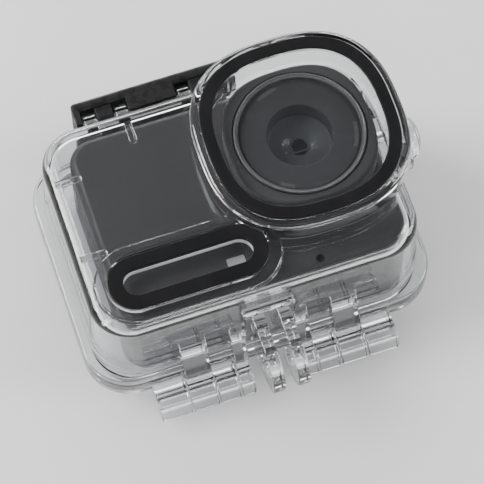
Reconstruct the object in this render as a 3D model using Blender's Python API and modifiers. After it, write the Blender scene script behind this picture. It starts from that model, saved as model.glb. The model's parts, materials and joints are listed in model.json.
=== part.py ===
"""Action camera sealed in a clear dive case, lying on its back.

The rear door of the case rests on z = 0. X runs along the case to the lens side, Y runs from the hinge to the
latch, and Z points out of the lens. Lengths are written in millimetres and scaled to metres by MM.
"""

import math

import bmesh
import bpy
from mathutils import Matrix, Vector

MM = 0.001
ASSEMBLY = "action_camera_in_dive_case"
GAP = 0.3

# Case outline. The front shell widens slightly from its front face down to the flange.
FRONT_W, FRONT_H, FRONT_R = 81.0, 56.0, 10.0
SKIRT_W, SKIRT_H, SKIRT_R = 83.4, 58.4, 11.0
FLANGE_W, FLANGE_H, FLANGE_R = 87.8, 63.0, 11.5
WALL = 2.0
FRONT_Z = 34.9
FRONT_FILLET = 2.4
DOOR_Z = 0.0
DOOR_PLATE = 2.2
DOOR_FLANGE = (5.4, 8.6)
SHELL_FLANGE = (8.9, 12.0)

# Hinge along the lower edge.
HINGE_Y, HINGE_Z, HINGE_R = -36.1, 5.4, 4.0
PIN_R, BORE_R = 1.25, 1.32
DOOR_KNUCKLES = ((22.6, 30.3), (10.1, 15.4))
SHELL_KNUCKLES = ((15.7, 22.3), (6.4, 9.8))
PIN_SPAN = (6.8, 29.8)

# Lens port.
PORT_X, PORT_Y = 20.3, 7.0
PORT_SIDE, PORT_TOP_Z, PORT_FOOT_Z = 50.4, 41.8, 22.0
PORT_BORE, PORT_SEAT, PORT_SEAT_Z = 40.6, 46.7, 39.4
PORT_POWER = 2.6
BEZEL_SIDE, BEZEL_OPENING = 46.0, 40.0

# Display window, a stadium on a raised pad.
WINDOW_X, WINDOW_Y, WINDOW_W, WINDOW_H = -15.4, -16.3, 39.1, 13.4
WINDOW_OPEN_W, WINDOW_OPEN_H = 31.6, 6.6
PAD_W, PAD_H, PAD_Z = 45.6, 19.6, 36.4

# Two-prong mount and its pin hole.
PRONG_T, PRONG_PITCH, PRONG_R = 3.0, 6.2, 7.5
PRONG_Y, PRONG_Z, PRONG_HOLE_R = -39.6, 21.4, 2.5

# Latch on the upper edge.
LATCH_X = (-28.5, 10.5)
LATCH_PIN_Y, LATCH_PIN_Z, LATCH_PIN_R = 31.6, 25.6, 1.0
LATCH_PLATE_Y = (34.5, 37.4)
LATCH_PLATE_Z = (5.0, 28.4)
LATCH_EAR_R, LATCH_LUG_R = 2.2, 2.4

# Sprung push buttons: cup radius and height, place along each wall, wall face, cup floor and cup mouth.
BUTTON_R, BUTTON_Z = 8.0, 19.4
POWER_Y, SHUTTER_X = 6.1, 22.0
SIDE_WALL_X, TOP_WALL_Y = 41.0, 28.4
SIDE_FLOOR, SIDE_MOUTH = 43.4, 47.4
SHUTTER_FLOOR, SHUTTER_MOUTH = 30.6, 34.6
SPRING_RADII, SPRING_WIRE = (5.0, 3.2), 0.16

# Camera body inside the case.
CAM_X, CAM_Y, CAM_W, CAM_H, CAM_R = 2.2, 0.0, 71.8, 50.4, 6.5
CAM_BACK_Z, CAM_SPLIT_Z, CAM_FRONT_Z = 4.8, 8.6, 31.4
CAM_WALL = 1.6
COVER_SIDE, COVER_TOP_Z = 35.6, 38.0
LENS_RING_R = 15.9

MATERIALS = {
    "clear_polycarbonate": ((0.80, 0.83, 0.86), 0.06, 0.0, 0.22),
    "clear_glass": ((0.72, 0.76, 0.80), 0.03, 0.0, 0.20),
    "black_bezel": ((0.012, 0.012, 0.014), 0.38, 0.0, 1.0),
    "black_latch": ((0.020, 0.020, 0.022), 0.45, 0.0, 1.0),
    "seal_silicone": ((0.62, 0.63, 0.64), 0.55, 0.0, 0.6),
    "black_rubber": ((0.018, 0.018, 0.018), 0.75, 0.0, 1.0),
    "camera_grey": ((0.045, 0.046, 0.050), 0.55, 0.0, 1.0),
    "camera_dark": ((0.022, 0.023, 0.026), 0.50, 0.0, 1.0),
    "screen_glass": ((0.010, 0.010, 0.012), 0.08, 0.0, 1.0),
    "lens_glass": ((0.030, 0.032, 0.036), 0.05, 0.0, 0.6),
    "display_grey": ((0.21, 0.21, 0.22), 0.30, 0.0, 1.0),
    "stainless_steel": ((0.60, 0.60, 0.59), 0.28, 1.0, 1.0),
    "aluminium": ((0.66, 0.67, 0.68), 0.35, 1.0, 1.0),
    "board_green": ((0.015, 0.075, 0.040), 0.50, 0.0, 1.0),
    "battery_grey": ((0.17, 0.18, 0.20), 0.45, 0.0, 1.0),
    "button_grey": ((0.12, 0.12, 0.13), 0.40, 0.0, 1.0),
}


def clear_scene():
    for item in list(bpy.data.objects):
        bpy.data.objects.remove(item, do_unlink=True)


def make_collection(name, hidden=False):
    collection = bpy.data.collections.new(name)
    bpy.context.scene.collection.children.link(collection)
    collection.hide_render = hidden
    return collection


def make_materials():
    made = {}
    for name, (colour, roughness, metallic, alpha) in MATERIALS.items():
        material = bpy.data.materials.new(name)
        material.use_nodes = True
        shader = material.node_tree.nodes["Principled BSDF"]
        shader.inputs["Base Color"].default_value = (*colour, 1.0)
        shader.inputs["Roughness"].default_value = roughness
        shader.inputs["Metallic"].default_value = metallic
        shader.inputs["Alpha"].default_value = alpha
        material.diffuse_color = (*colour, alpha)
        made[name] = material
    return made


# Outlines: lists of (x, y) points in millimetres, counter-clockwise.


def rounded_rect(width, height, radius, centre=(0.0, 0.0), steps=6):
    points = []
    for quarter, (sx, sy) in enumerate(((1, 1), (-1, 1), (-1, -1), (1, -1))):
        cx = centre[0] + sx * (width / 2 - radius)
        cy = centre[1] + sy * (height / 2 - radius)
        for step in range(steps + 1):
            angle = math.radians(90 * quarter + 90 * step / steps)
            points.append((cx + radius * math.cos(angle), cy + radius * math.sin(angle)))
    return points


def stadium(width, height, centre=(0.0, 0.0), steps=8):
    return rounded_rect(width, height, height / 2 - 0.001, centre, steps)


def squircle(side, centre=(0.0, 0.0), power=PORT_POWER, count=56):
    points = []
    for index in range(count):
        angle = math.tau * (index + 0.5) / count
        c, s = math.cos(angle), math.sin(angle)
        x = math.copysign(abs(c) ** (2 / power), c) * side / 2
        y = math.copysign(abs(s) ** (2 / power), s) * side / 2
        points.append((centre[0] + x, centre[1] + y))
    return points


def disc(radius, centre=(0.0, 0.0), count=32):
    return [(centre[0] + radius * math.cos(math.tau * i / count),
             centre[1] + radius * math.sin(math.tau * i / count)) for i in range(count)]


# Solids. Every function returns an object whose mesh is in world coordinates.


def new_object(name, mesh, collection):
    item = bpy.data.objects.new(name, mesh)
    collection.objects.link(item)
    return item


def fill_bmesh(name, work, collection):
    bmesh.ops.recalc_face_normals(work, faces=work.faces)
    mesh = bpy.data.meshes.new(name)
    work.to_mesh(mesh)
    work.free()
    return new_object(name, mesh, collection)


def add_loft(work, sections):
    """Closed solid through stacked outlines of equal point count; each section is (outline, height)."""
    rings = []
    for outline, height in sections:
        rings.append([work.verts.new((x * MM, y * MM, height * MM)) for x, y in outline])
    for low, high in zip(rings, rings[1:]):
        for index in range(len(low)):
            after = (index + 1) % len(low)
            work.faces.new((low[index], low[after], high[after], high[index]))
    work.faces.new(list(reversed(rings[0])))
    work.faces.new(rings[-1])


def loft(name, sections, collection):
    work = bmesh.new()
    add_loft(work, sections)
    return fill_bmesh(name, work, collection)


def plate(name, outlines, low, high, collection):
    """Flat plate cut from one outer outline and any number of hole outlines."""
    curve = bpy.data.curves.new(name, "CURVE")
    curve.dimensions = "2D"
    curve.fill_mode = "BOTH"
    curve.extrude = (high - low) / 2 * MM
    for outline in outlines:
        spline = curve.splines.new("POLY")
        spline.points.add(len(outline) - 1)
        for point, (x, y) in zip(spline.points, outline):
            point.co = (x * MM, y * MM, 0.0, 1.0)
        spline.use_cyclic_u = True
    return mesh_from_curve(name, curve, Matrix.Translation((0, 0, (low + high) / 2 * MM)), collection)


def mesh_from_curve(name, curve, placement, collection):
    holder = bpy.data.objects.new(name + "_curve", curve)
    bpy.context.scene.collection.objects.link(holder)
    bpy.context.view_layer.update()
    mesh = bpy.data.meshes.new_from_object(holder.evaluated_get(bpy.context.evaluated_depsgraph_get()))
    work = bmesh.new()
    work.from_mesh(mesh)
    bmesh.ops.remove_doubles(work, verts=work.verts, dist=0.00002)
    bmesh.ops.transform(work, matrix=placement, verts=work.verts)
    bpy.data.objects.remove(holder, do_unlink=True)
    return fill_bmesh(name, work, collection)


AXIS_TURN = {
    "X": Matrix.Rotation(math.radians(90), 4, "Y"),
    "Y": Matrix.Rotation(math.radians(-90), 4, "X"),
    "Z": Matrix.Identity(4),
}


def add_cylinder(work, radius, start, end, axis, centre, segments=24):
    """Cylinder from start to end along an axis; centre is its place in the other two coordinates."""
    middle = {
        "X": ((start + end) / 2, centre[0], centre[1]),
        "Y": (centre[0], (start + end) / 2, centre[1]),
        "Z": (centre[0], centre[1], (start + end) / 2),
    }[axis]
    placement = Matrix.Translation(Vector(middle) * MM) @ AXIS_TURN[axis]
    bmesh.ops.create_cone(work, cap_ends=True, segments=segments, radius1=radius * MM, radius2=radius * MM,
                          depth=abs(end - start) * MM, matrix=placement)


def cylinders(name, rods, collection, segments=24):
    """One mesh of separate cylinders; each rod is (radius, start, end, axis, centre)."""
    work = bmesh.new()
    for rod in rods:
        add_cylinder(work, *rod, segments=segments)
    return fill_bmesh(name, work, collection)


def add_box(work, low, high):
    size = [b - a for a, b in zip(low, high)]
    centre = Vector([(a + b) / 2 for a, b in zip(low, high)]) * MM
    placement = Matrix.Translation(centre) @ Matrix.Diagonal((*[s * MM for s in size], 1.0))
    bmesh.ops.create_cube(work, size=1.0, matrix=placement)


def boxes(name, spans, collection, bevel=0.0):
    """One mesh of separate boxes, each given by its lowest and highest corner."""
    work = bmesh.new()
    for low, high in spans:
        add_box(work, low, high)
    item = fill_bmesh(name, work, collection)
    if bevel:
        add_bevel(item, bevel)
    return item


def add_bevel(item, width, segments=2):
    modifier = item.modifiers.new("edge_radius", "BEVEL")
    modifier.width = width * MM
    modifier.segments = segments
    modifier.limit_method = "ANGLE"
    modifier.angle_limit = math.radians(40)


def slab_x(name, outline_yz, spans, collection):
    """Flat pieces whose outline lies in the YZ plane, one for each (start, end) along X."""
    work = bmesh.new()
    for start, end in spans:
        rings = [[work.verts.new((x * MM, y * MM, z * MM)) for y, z in outline_yz] for x in (start, end)]
        for index in range(len(outline_yz)):
            after = (index + 1) % len(outline_yz)
            work.faces.new((rings[0][index], rings[0][after], rings[1][after], rings[1][index]))
        work.faces.new(rings[0])
        work.faces.new(rings[1])
    return fill_bmesh(name, work, collection)


def turned(name, profile, axis, centre, collection, steps=32):
    """Solid of revolution. Profile points are (radius, distance along the axis), outer side top to bottom."""
    mesh = bpy.data.meshes.new(name)
    mesh.from_pydata([(r * MM, 0.0, h * MM) for r, h in profile], [(i, i + 1) for i in range(len(profile) - 1)], [])
    holder = new_object(name, mesh, collection)
    screw = holder.modifiers.new("turn", "SCREW")
    screw.axis = "Z"
    screw.steps = steps
    screw.render_steps = steps
    screw.use_merge_vertices = True
    screw.merge_threshold = 0.00001
    place = {"X": (0.0, centre[0], centre[1]), "Y": (centre[0], 0.0, centre[1]), "Z": (centre[0], centre[1], 0.0)}
    holder.matrix_world = Matrix.Translation(Vector(place[axis]) * MM) @ AXIS_TURN[axis]
    return holder


def ring_profile(inner, outer, low, high, chamfer=0.0):
    """Closed rectangular ring section with chamfered outer corners."""
    return [(inner, high), (outer - chamfer, high), (outer, high - chamfer), (outer, low + chamfer),
            (outer - chamfer, low), (inner, low), (inner, high)]


def torus(name, major, minor, axis, position, centre, collection):
    count = 8
    profile = []
    for step in range(count + 1):
        angle = math.radians(90) - math.tau * step / count
        profile.append((major + minor * math.cos(angle), position + minor * math.sin(angle)))
    return turned(name, profile, axis, centre, collection, 28)


def coil(name, radii, wire, start, end, turns, axis, centre, collection):
    """Conical compression spring whose turns nest when pressed, as a round wire swept along a helix."""
    per_turn = 14
    total = turns * per_turn
    curve = bpy.data.curves.new(name, "CURVE")
    curve.dimensions = "3D"
    curve.bevel_depth = wire * MM
    curve.bevel_resolution = 2
    curve.use_fill_caps = True
    spline = curve.splines.new("POLY")
    spline.points.add(total)
    for index, point in enumerate(spline.points):
        angle = math.tau * index / per_turn
        share = index / total
        height = start + wire + (end - start - 2 * wire) * share
        radius = radii[0] + (radii[1] - radii[0]) * share
        point.co = (radius * math.cos(angle) * MM, radius * math.sin(angle) * MM, height * MM, 1.0)
    place = {"X": (0.0, centre[0], centre[1]), "Y": (centre[0], 0.0, centre[1])}[axis]
    placement = Matrix.Translation(Vector(place) * MM) @ AXIS_TURN[axis]
    spring = mesh_from_curve(name, curve, placement, collection)
    work = bmesh.new()
    work.from_mesh(spring.data)
    bmesh.ops.triangulate(work, faces=work.faces)
    work.to_mesh(spring.data)
    work.free()
    return spring


def combine(target, operation, *others):
    """Adds a Boolean for each other solid, in order."""
    for other in others:
        modifier = target.modifiers.new(other.name, "BOOLEAN")
        modifier.operation = operation
        modifier.solver = "EXACT"
        modifier.object = other
        other.hide_render = True
        other.display_type = "WIRE"


def drafted(width_top, height_top, radius, shrink, z_low, z_high, widen, fillet=0.0, centre=(0.0, 0.0)):
    """Sections of a rounded box that widens downward, with a quarter-round along its top edge."""
    sections = [(rounded_rect(width_top + 2 * widen - 2 * shrink, height_top + 2 * widen - 2 * shrink,
                              radius - shrink, centre), z_low)]
    steps = 3 if fillet else 0
    for step in range(steps + 1):
        angle = math.radians(90 * step / max(steps, 1))
        inset = fillet * (1 - math.cos(angle)) + shrink
        height = z_high - fillet + fillet * math.sin(angle)
        sections.append((rounded_rect(width_top - 2 * inset, height_top - 2 * inset, radius - inset, centre), height))
    return sections


def mirrored_spans(spans):
    return [span for low, high in spans for span in ((low, high), (-high, -low))]


# Case.


def barrel_arc(first, last, steps=10):
    """Points round the hinge barrel between two angles in degrees."""
    angles = [math.radians(first + (last - first) * step / steps) for step in range(steps + 1)]
    return [(HINGE_Y + HINGE_R * math.cos(a), HINGE_Z + HINGE_R * math.sin(a)) for a in angles]


def door_arm_outline():
    """Door knuckle seen along the pin: a barrel with a short web to the flange."""
    return [(-30.5, DOOR_FLANGE[0] + 0.3), (-30.5, DOOR_FLANGE[1] - 0.6)] + barrel_arc(62, 298)


def shell_arm_outline():
    """Shell knuckle seen along the pin: a barrel hung from a gusset that climbs the lower wall."""
    low = SHELL_FLANGE[0] + 0.2
    return [(-28.4, low), (-28.4, 22.0)] + barrel_arc(75, 385, 13) + [(-32.2, low)]


def build_rear_door(parts, cutters):
    """Back panel, raised rim, flange and its hinge knuckles, moulded as one piece."""
    low, high = DOOR_FLANGE
    door = loft("rear_door", [
        (rounded_rect(SKIRT_W - 5.0, SKIRT_H - 5.0, SKIRT_R - 2.5), DOOR_Z),
        (rounded_rect(SKIRT_W - 2.4, SKIRT_H - 2.4, SKIRT_R - 1.2), DOOR_Z + 1.0),
        (rounded_rect(SKIRT_W - 1.0, SKIRT_H - 1.0, SKIRT_R - 0.5), low + 0.05),
        (rounded_rect(FLANGE_W - 0.6, FLANGE_H - 0.6, FLANGE_R - 0.3), low + 0.1),
        (rounded_rect(FLANGE_W, FLANGE_H, FLANGE_R), low + 0.7),
        (rounded_rect(FLANGE_W, FLANGE_H, FLANGE_R), high - 0.4),
        (rounded_rect(FLANGE_W - 0.8, FLANGE_H - 0.8, FLANGE_R - 0.4), high),
    ], parts)
    lip = plate("door_lip", [rounded_rect(78.8, 53.8, 8.7)], high - 0.5, high + 0.9, cutters)
    tray = loft("door_tray", [
        (rounded_rect(76.6, 50.8, 7.3), DOOR_Z + DOOR_PLATE),
        (rounded_rect(77.4, 52.6, 8.0), high + 3.0),
    ], cutters)
    arms = slab_x("door_arms", door_arm_outline(), mirrored_spans(DOOR_KNUCKLES), cutters)
    bore = cylinders("door_pin_bore", [(BORE_R, -40, 40, "X", (HINGE_Y, HINGE_Z))], cutters)
    catch = boxes("door_catch", [((-22.0, 29.0, low - 1.4), (4.0, 31.2, low + 0.6))], cutters, 0.4)
    groove = plate("door_groove", [rounded_rect(82.2, 57.2, 10.4), rounded_rect(79.2, 54.2, 8.9)],
                   high - 1.0, high + 1.0, cutters)
    combine(door, "UNION", lip, arms, catch)
    combine(door, "DIFFERENCE", tray, groove, bore)
    seal = plate("door_seal", [rounded_rect(81.6, 56.6, 10.1), rounded_rect(79.8, 54.8, 9.2)],
                 high - 0.7, high + 0.15, parts)
    return door, seal


def build_front_shell(parts, cutters):
    """Clear moulding that carries the port, the mount prongs, the lugs and the button cups."""
    widen = (SKIRT_W - FRONT_W) / 2
    shell = loft("front_shell", drafted(FRONT_W, FRONT_H, FRONT_R, 0.0, SHELL_FLANGE[0] + 0.5, FRONT_Z,
                                        widen, FRONT_FILLET), parts)
    low, high = SHELL_FLANGE
    flange = loft("shell_flange", [
        (rounded_rect(FLANGE_W - 0.8, FLANGE_H - 0.8, FLANGE_R - 0.4), low),
        (rounded_rect(FLANGE_W, FLANGE_H, FLANGE_R), low + 0.4),
        (rounded_rect(FLANGE_W, FLANGE_H, FLANGE_R), high - 1.0),
        (rounded_rect(FLANGE_W - 1.8, FLANGE_H - 1.8, FLANGE_R - 0.9), high),
    ], cutters)
    port = loft("port_tube", [
        (squircle(PORT_SIDE - 14.0, (PORT_X - 5.5, PORT_Y - 4.5)), PORT_FOOT_Z),
        (squircle(PORT_SIDE - 1.6, (PORT_X, PORT_Y)), 31.0),
        (squircle(PORT_SIDE - 0.4, (PORT_X, PORT_Y)), 35.5),
        (squircle(PORT_SIDE, (PORT_X, PORT_Y)), PORT_TOP_Z - 1.6),
        (squircle(PORT_SIDE - 0.9, (PORT_X, PORT_Y)), PORT_TOP_Z - 0.5),
        (squircle(PORT_SIDE - 2.2, (PORT_X, PORT_Y)), PORT_TOP_Z),
    ], cutters)
    pad_centre = (WINDOW_X, WINDOW_Y)
    pad = loft("window_pad", [
        (stadium(PAD_W + 1.0, PAD_H + 1.0, pad_centre), FRONT_Z - 1.5),
        (stadium(PAD_W, PAD_H, pad_centre), PAD_Z - 0.6),
        (stadium(PAD_W - 1.2, PAD_H - 1.2, pad_centre), PAD_Z),
    ], cutters)
    cavity = loft("shell_cavity", drafted(FRONT_W, FRONT_H, FRONT_R, WALL, low - 2.0, FRONT_Z - WALL - 0.2,
                                          widen, 1.5), cutters)
    port_bore = loft("port_bore", [
        (squircle(PORT_BORE + 1.0, (PORT_X, PORT_Y)), FRONT_Z - WALL - 3.0),
        (squircle(PORT_BORE, (PORT_X, PORT_Y)), PORT_TOP_Z + 2.0),
    ], cutters)
    port_seat = loft("port_seat", [
        (squircle(PORT_SEAT, (PORT_X, PORT_Y)), PORT_SEAT_Z),
        (squircle(PORT_SEAT, (PORT_X, PORT_Y)), PORT_TOP_Z + 2.5),
    ], cutters)
    window_hole = plate("window_hole", [stadium(WINDOW_OPEN_W + 0.6, WINDOW_OPEN_H + 0.6, pad_centre)],
                        FRONT_Z - WALL - 3.0, PAD_Z + 2.0, cutters)
    window_seat = plate("window_seat", [stadium(WINDOW_W + 0.8, WINDOW_H + 0.8, pad_centre)],
                        PAD_Z - 2.0, PAD_Z + 2.2, cutters)
    combine(shell, "UNION", flange, port, pad)
    combine(shell, "UNION", *build_prongs(cutters))
    combine(shell, "UNION", build_shell_arms(cutters), build_latch_lugs(cutters), build_button_cups(cutters))
    combine(shell, "DIFFERENCE", cavity, port_bore, port_seat, window_hole, window_seat)
    combine(shell, "DIFFERENCE", *build_shell_bores(cutters))
    combine(shell, "UNION", build_ribs(cutters))
    return shell


def build_prongs(cutters):
    """Two round-ended prongs on the lower wall, joined by a foot, with a cross hole for the mount screw."""
    outline = [(-27.8, PRONG_Z + PRONG_R), (-27.8, PRONG_Z - PRONG_R)]
    for step in range(13):
        angle = math.radians(-90 - 180 * step / 12)
        outline.append((PRONG_Y + PRONG_R * math.cos(angle), PRONG_Z + PRONG_R * math.sin(angle)))
    spans = [(s * PRONG_PITCH / 2 - PRONG_T / 2, s * PRONG_PITCH / 2 + PRONG_T / 2) for s in (-1, 1)]
    prongs = slab_x("mount_prongs", outline, spans, cutters)
    foot = boxes("prong_foot", [((-6.6, -30.2, PRONG_Z - 8.4), (6.6, -27.5, PRONG_Z + 8.4))], cutters, 0.8)
    return prongs, foot


def build_shell_arms(cutters):
    """Knuckles of the shell, each with a gusset that climbs the lower wall."""
    return slab_x("shell_arms", shell_arm_outline(), mirrored_spans(SHELL_KNUCKLES), cutters)


def build_latch_lugs(cutters):
    """Four round-ended lugs on the upper wall that carry the latch pin."""
    outline = [(27.0, LATCH_PIN_Z - LATCH_LUG_R - 0.6), (LATCH_PIN_Y, LATCH_PIN_Z - LATCH_LUG_R)]
    for step in range(1, 9):
        angle = math.radians(-90 + 180 * step / 8)
        outline.append((LATCH_PIN_Y + LATCH_LUG_R * math.cos(angle), LATCH_PIN_Z + LATCH_LUG_R * math.sin(angle)))
    outline.append((27.0, LATCH_PIN_Z + LATCH_LUG_R))
    return slab_x("latch_lugs", outline, latch_lug_spans(), cutters)


def latch_lug_spans():
    first, last = LATCH_X
    return [(first + 2.0, first + 5.0), (first + 10.0, first + 13.0), (last - 13.0, last - 10.0),
            (last - 5.0, last - 2.0)]


def build_button_cups(cutters):
    rods = [
        (BUTTON_R, SIDE_WALL_X - 2.0, SIDE_MOUTH, "X", (POWER_Y, BUTTON_Z)),
        (BUTTON_R, TOP_WALL_Y - 2.0, SHUTTER_MOUTH, "Y", (SHUTTER_X, BUTTON_Z)),
    ]
    return cylinders("button_cups", rods, cutters, 32)


def stepped_bore(name, axis, centre, floor, mouth, collection):
    """Button pocket, O-ring counterbore and stem hole, as one turned shape."""
    return turned(name, [
        (0.0, mouth + 2.6), (BUTTON_R - 1.1, mouth + 2.6), (BUTTON_R - 1.1, floor), (2.7, floor),
        (2.7, floor - 0.9), (1.6, floor - 0.9), (1.6, floor - 7.4), (0.0, floor - 7.4),
    ], axis, centre, collection)


def build_shell_bores(cutters):
    """Every round hole of the shell: hinge, latch pin, prong hole and the two button pockets."""
    work = bmesh.new()
    add_cylinder(work, BORE_R, -40, 40, "X", (HINGE_Y, HINGE_Z))
    add_cylinder(work, LATCH_PIN_R + 0.07, LATCH_X[0] - 2, LATCH_X[1] + 2, "X", (LATCH_PIN_Y, LATCH_PIN_Z), 16)
    add_cylinder(work, PRONG_HOLE_R, -10, 10, "X", (PRONG_Y, PRONG_Z))
    pins = fill_bmesh("shell_bores", work, cutters)
    side = stepped_bore("side_button_bore", "X", (POWER_Y, BUTTON_Z), SIDE_FLOOR, SIDE_MOUTH, cutters)
    shutter = stepped_bore("shutter_button_bore", "Y", (SHUTTER_X, BUTTON_Z), SHUTTER_FLOOR, SHUTTER_MOUTH, cutters)
    return pins, side, shutter


def build_ribs(cutters):
    """Small ribs inside the front face that centre the camera."""
    top = FRONT_Z - WALL + 0.3
    low = FRONT_Z - WALL - 1.1
    side_y = (15.0, -5.4)
    spans = [((-39.2, y - 0.6, low), (-32.0, y + 0.6, top)) for y in side_y]
    spans.append(((-17.8, 19.8, low), (-16.6, 26.8, top)))
    return boxes("front_ribs", spans, cutters)


def build_port_and_window(parts):
    centre = (PORT_X, PORT_Y)
    window = (WINDOW_X, WINDOW_Y)
    glass = plate("port_glass", [squircle(46.1, centre)], PORT_SEAT_Z + GAP, PORT_TOP_Z - 0.1, parts)
    bezel = plate("port_bezel", [squircle(BEZEL_SIDE, centre), squircle(BEZEL_OPENING, centre)],
                  PORT_TOP_Z + 0.2, PORT_TOP_Z + 0.9, parts)
    pane = plate("window_glass", [stadium(WINDOW_W, WINDOW_H, window)], PAD_Z - 1.7, PAD_Z - 0.5, parts)
    frame = plate("window_bezel", [stadium(WINDOW_W, WINDOW_H, window),
                                   stadium(WINDOW_OPEN_W, WINDOW_OPEN_H, window)], PAD_Z - 0.2, PAD_Z + 0.5, parts)
    return glass, bezel, pane, frame


def build_latch(parts, cutters):
    """Flat lever with ears on the pin, a hood and end cheeks over them, and a hook bar along its free edge."""
    first, last = LATCH_X
    lever = boxes("latch_lever", [((first, LATCH_PLATE_Y[0], LATCH_PLATE_Z[0]),
                                   (last, LATCH_PLATE_Y[1], LATCH_PLATE_Z[1]))], parts, 0.7)
    outline = [(LATCH_PLATE_Y[0] + 0.8, LATCH_PIN_Z + 2.0)]
    for step in range(9):
        angle = math.radians(90 + 180 * step / 8)
        outline.append((LATCH_PIN_Y + LATCH_EAR_R * math.cos(angle), LATCH_PIN_Z + LATCH_EAR_R * math.sin(angle)))
    outline.append((LATCH_PLATE_Y[0] + 0.8, LATCH_PIN_Z - 3.0))
    ears = slab_x("latch_ears", outline, [(first + 5.4, first + 9.6), (last - 9.6, last - 5.4)], cutters)
    plate_face, top = LATCH_PLATE_Y[0] + 0.9, LATCH_PLATE_Z[1]
    cheek = (LATCH_PIN_Y - 0.8, LATCH_PIN_Z - 3.6)
    hood = boxes("latch_hood", [
        ((first + 13.4, LATCH_PIN_Y - 0.6, top - 0.9), (last - 13.4, plate_face, top - 0.02)),
        ((first + 0.02, *cheek), (first + 1.6, plate_face, top - 0.02)),
        ((last - 1.6, *cheek), (last - 0.02, plate_face, top - 0.02)),
    ], cutters)
    bore = cylinders("latch_bore", [(LATCH_PIN_R + 0.07, first - 2, last + 2, "X",
                                     (LATCH_PIN_Y, LATCH_PIN_Z))], cutters, 16)
    combine(lever, "UNION", ears, hood)
    combine(lever, "DIFFERENCE", bore)
    hook_outline = [(34.2, 12.6), (34.2, 3.4), (33.6, 2.8), (32.2, 2.8), (31.85, 3.4), (31.85, 5.0), (32.6, 6.4),
                    (32.6, 12.6)]
    hook = slab_x("latch_hook", hook_outline, [(first + 4.0, last - 4.0)], parts)
    pin = cylinders("latch_pin", [(LATCH_PIN_R, first + 1.0, last - 1.0, "X", (LATCH_PIN_Y, LATCH_PIN_Z))],
                    parts, 16)
    return lever, hook, pin


def build_hinge_pins(parts):
    low, high = PIN_SPAN
    return [cylinders("hinge_pin_" + side, [(PIN_R, sign * low, sign * high, "X", (HINGE_Y, HINGE_Z))], parts)
            for side, sign in (("left", -1), ("right", 1))]


def build_button(prefix, axis, centre, floor, mouth, stem_end, parts):
    """Domed cap on a stem, held in a cup by a collar and pushed out by a spring."""
    cap = turned(prefix + "_cap", [
        (0.0, mouth + 4.0), (2.6, mouth + 3.8), (4.4, mouth + 3.1), (5.2, mouth + 2.1), (5.4, mouth + 1.0),
        (5.4, mouth - 1.0), (6.5, mouth - 1.0), (6.5, mouth - 2.0), (0.0, mouth - 2.0),
    ], axis, centre, parts)
    stem = turned(prefix + "_stem", [
        (0.0, mouth - 2.3), (2.2, mouth - 2.3), (2.2, mouth - 2.6), (1.3, mouth - 2.6),
        (1.3, stem_end + 0.3), (1.0, stem_end), (0.0, stem_end),
    ], axis, centre, parts, 20)
    spring = coil(prefix + "_spring", SPRING_RADII, SPRING_WIRE, floor + 0.05, mouth - 2.1, 3, axis, centre, parts)
    seal = torus(prefix + "_o_ring", 2.15, 0.35, axis, floor - 0.45, centre, parts)
    collar = turned(prefix + "_collar", ring_profile(5.7, 6.75, mouth - 0.7, mouth + 0.3, 0.2), axis, centre, parts)
    return cap, stem, spring, seal, collar


# Camera.


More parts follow.
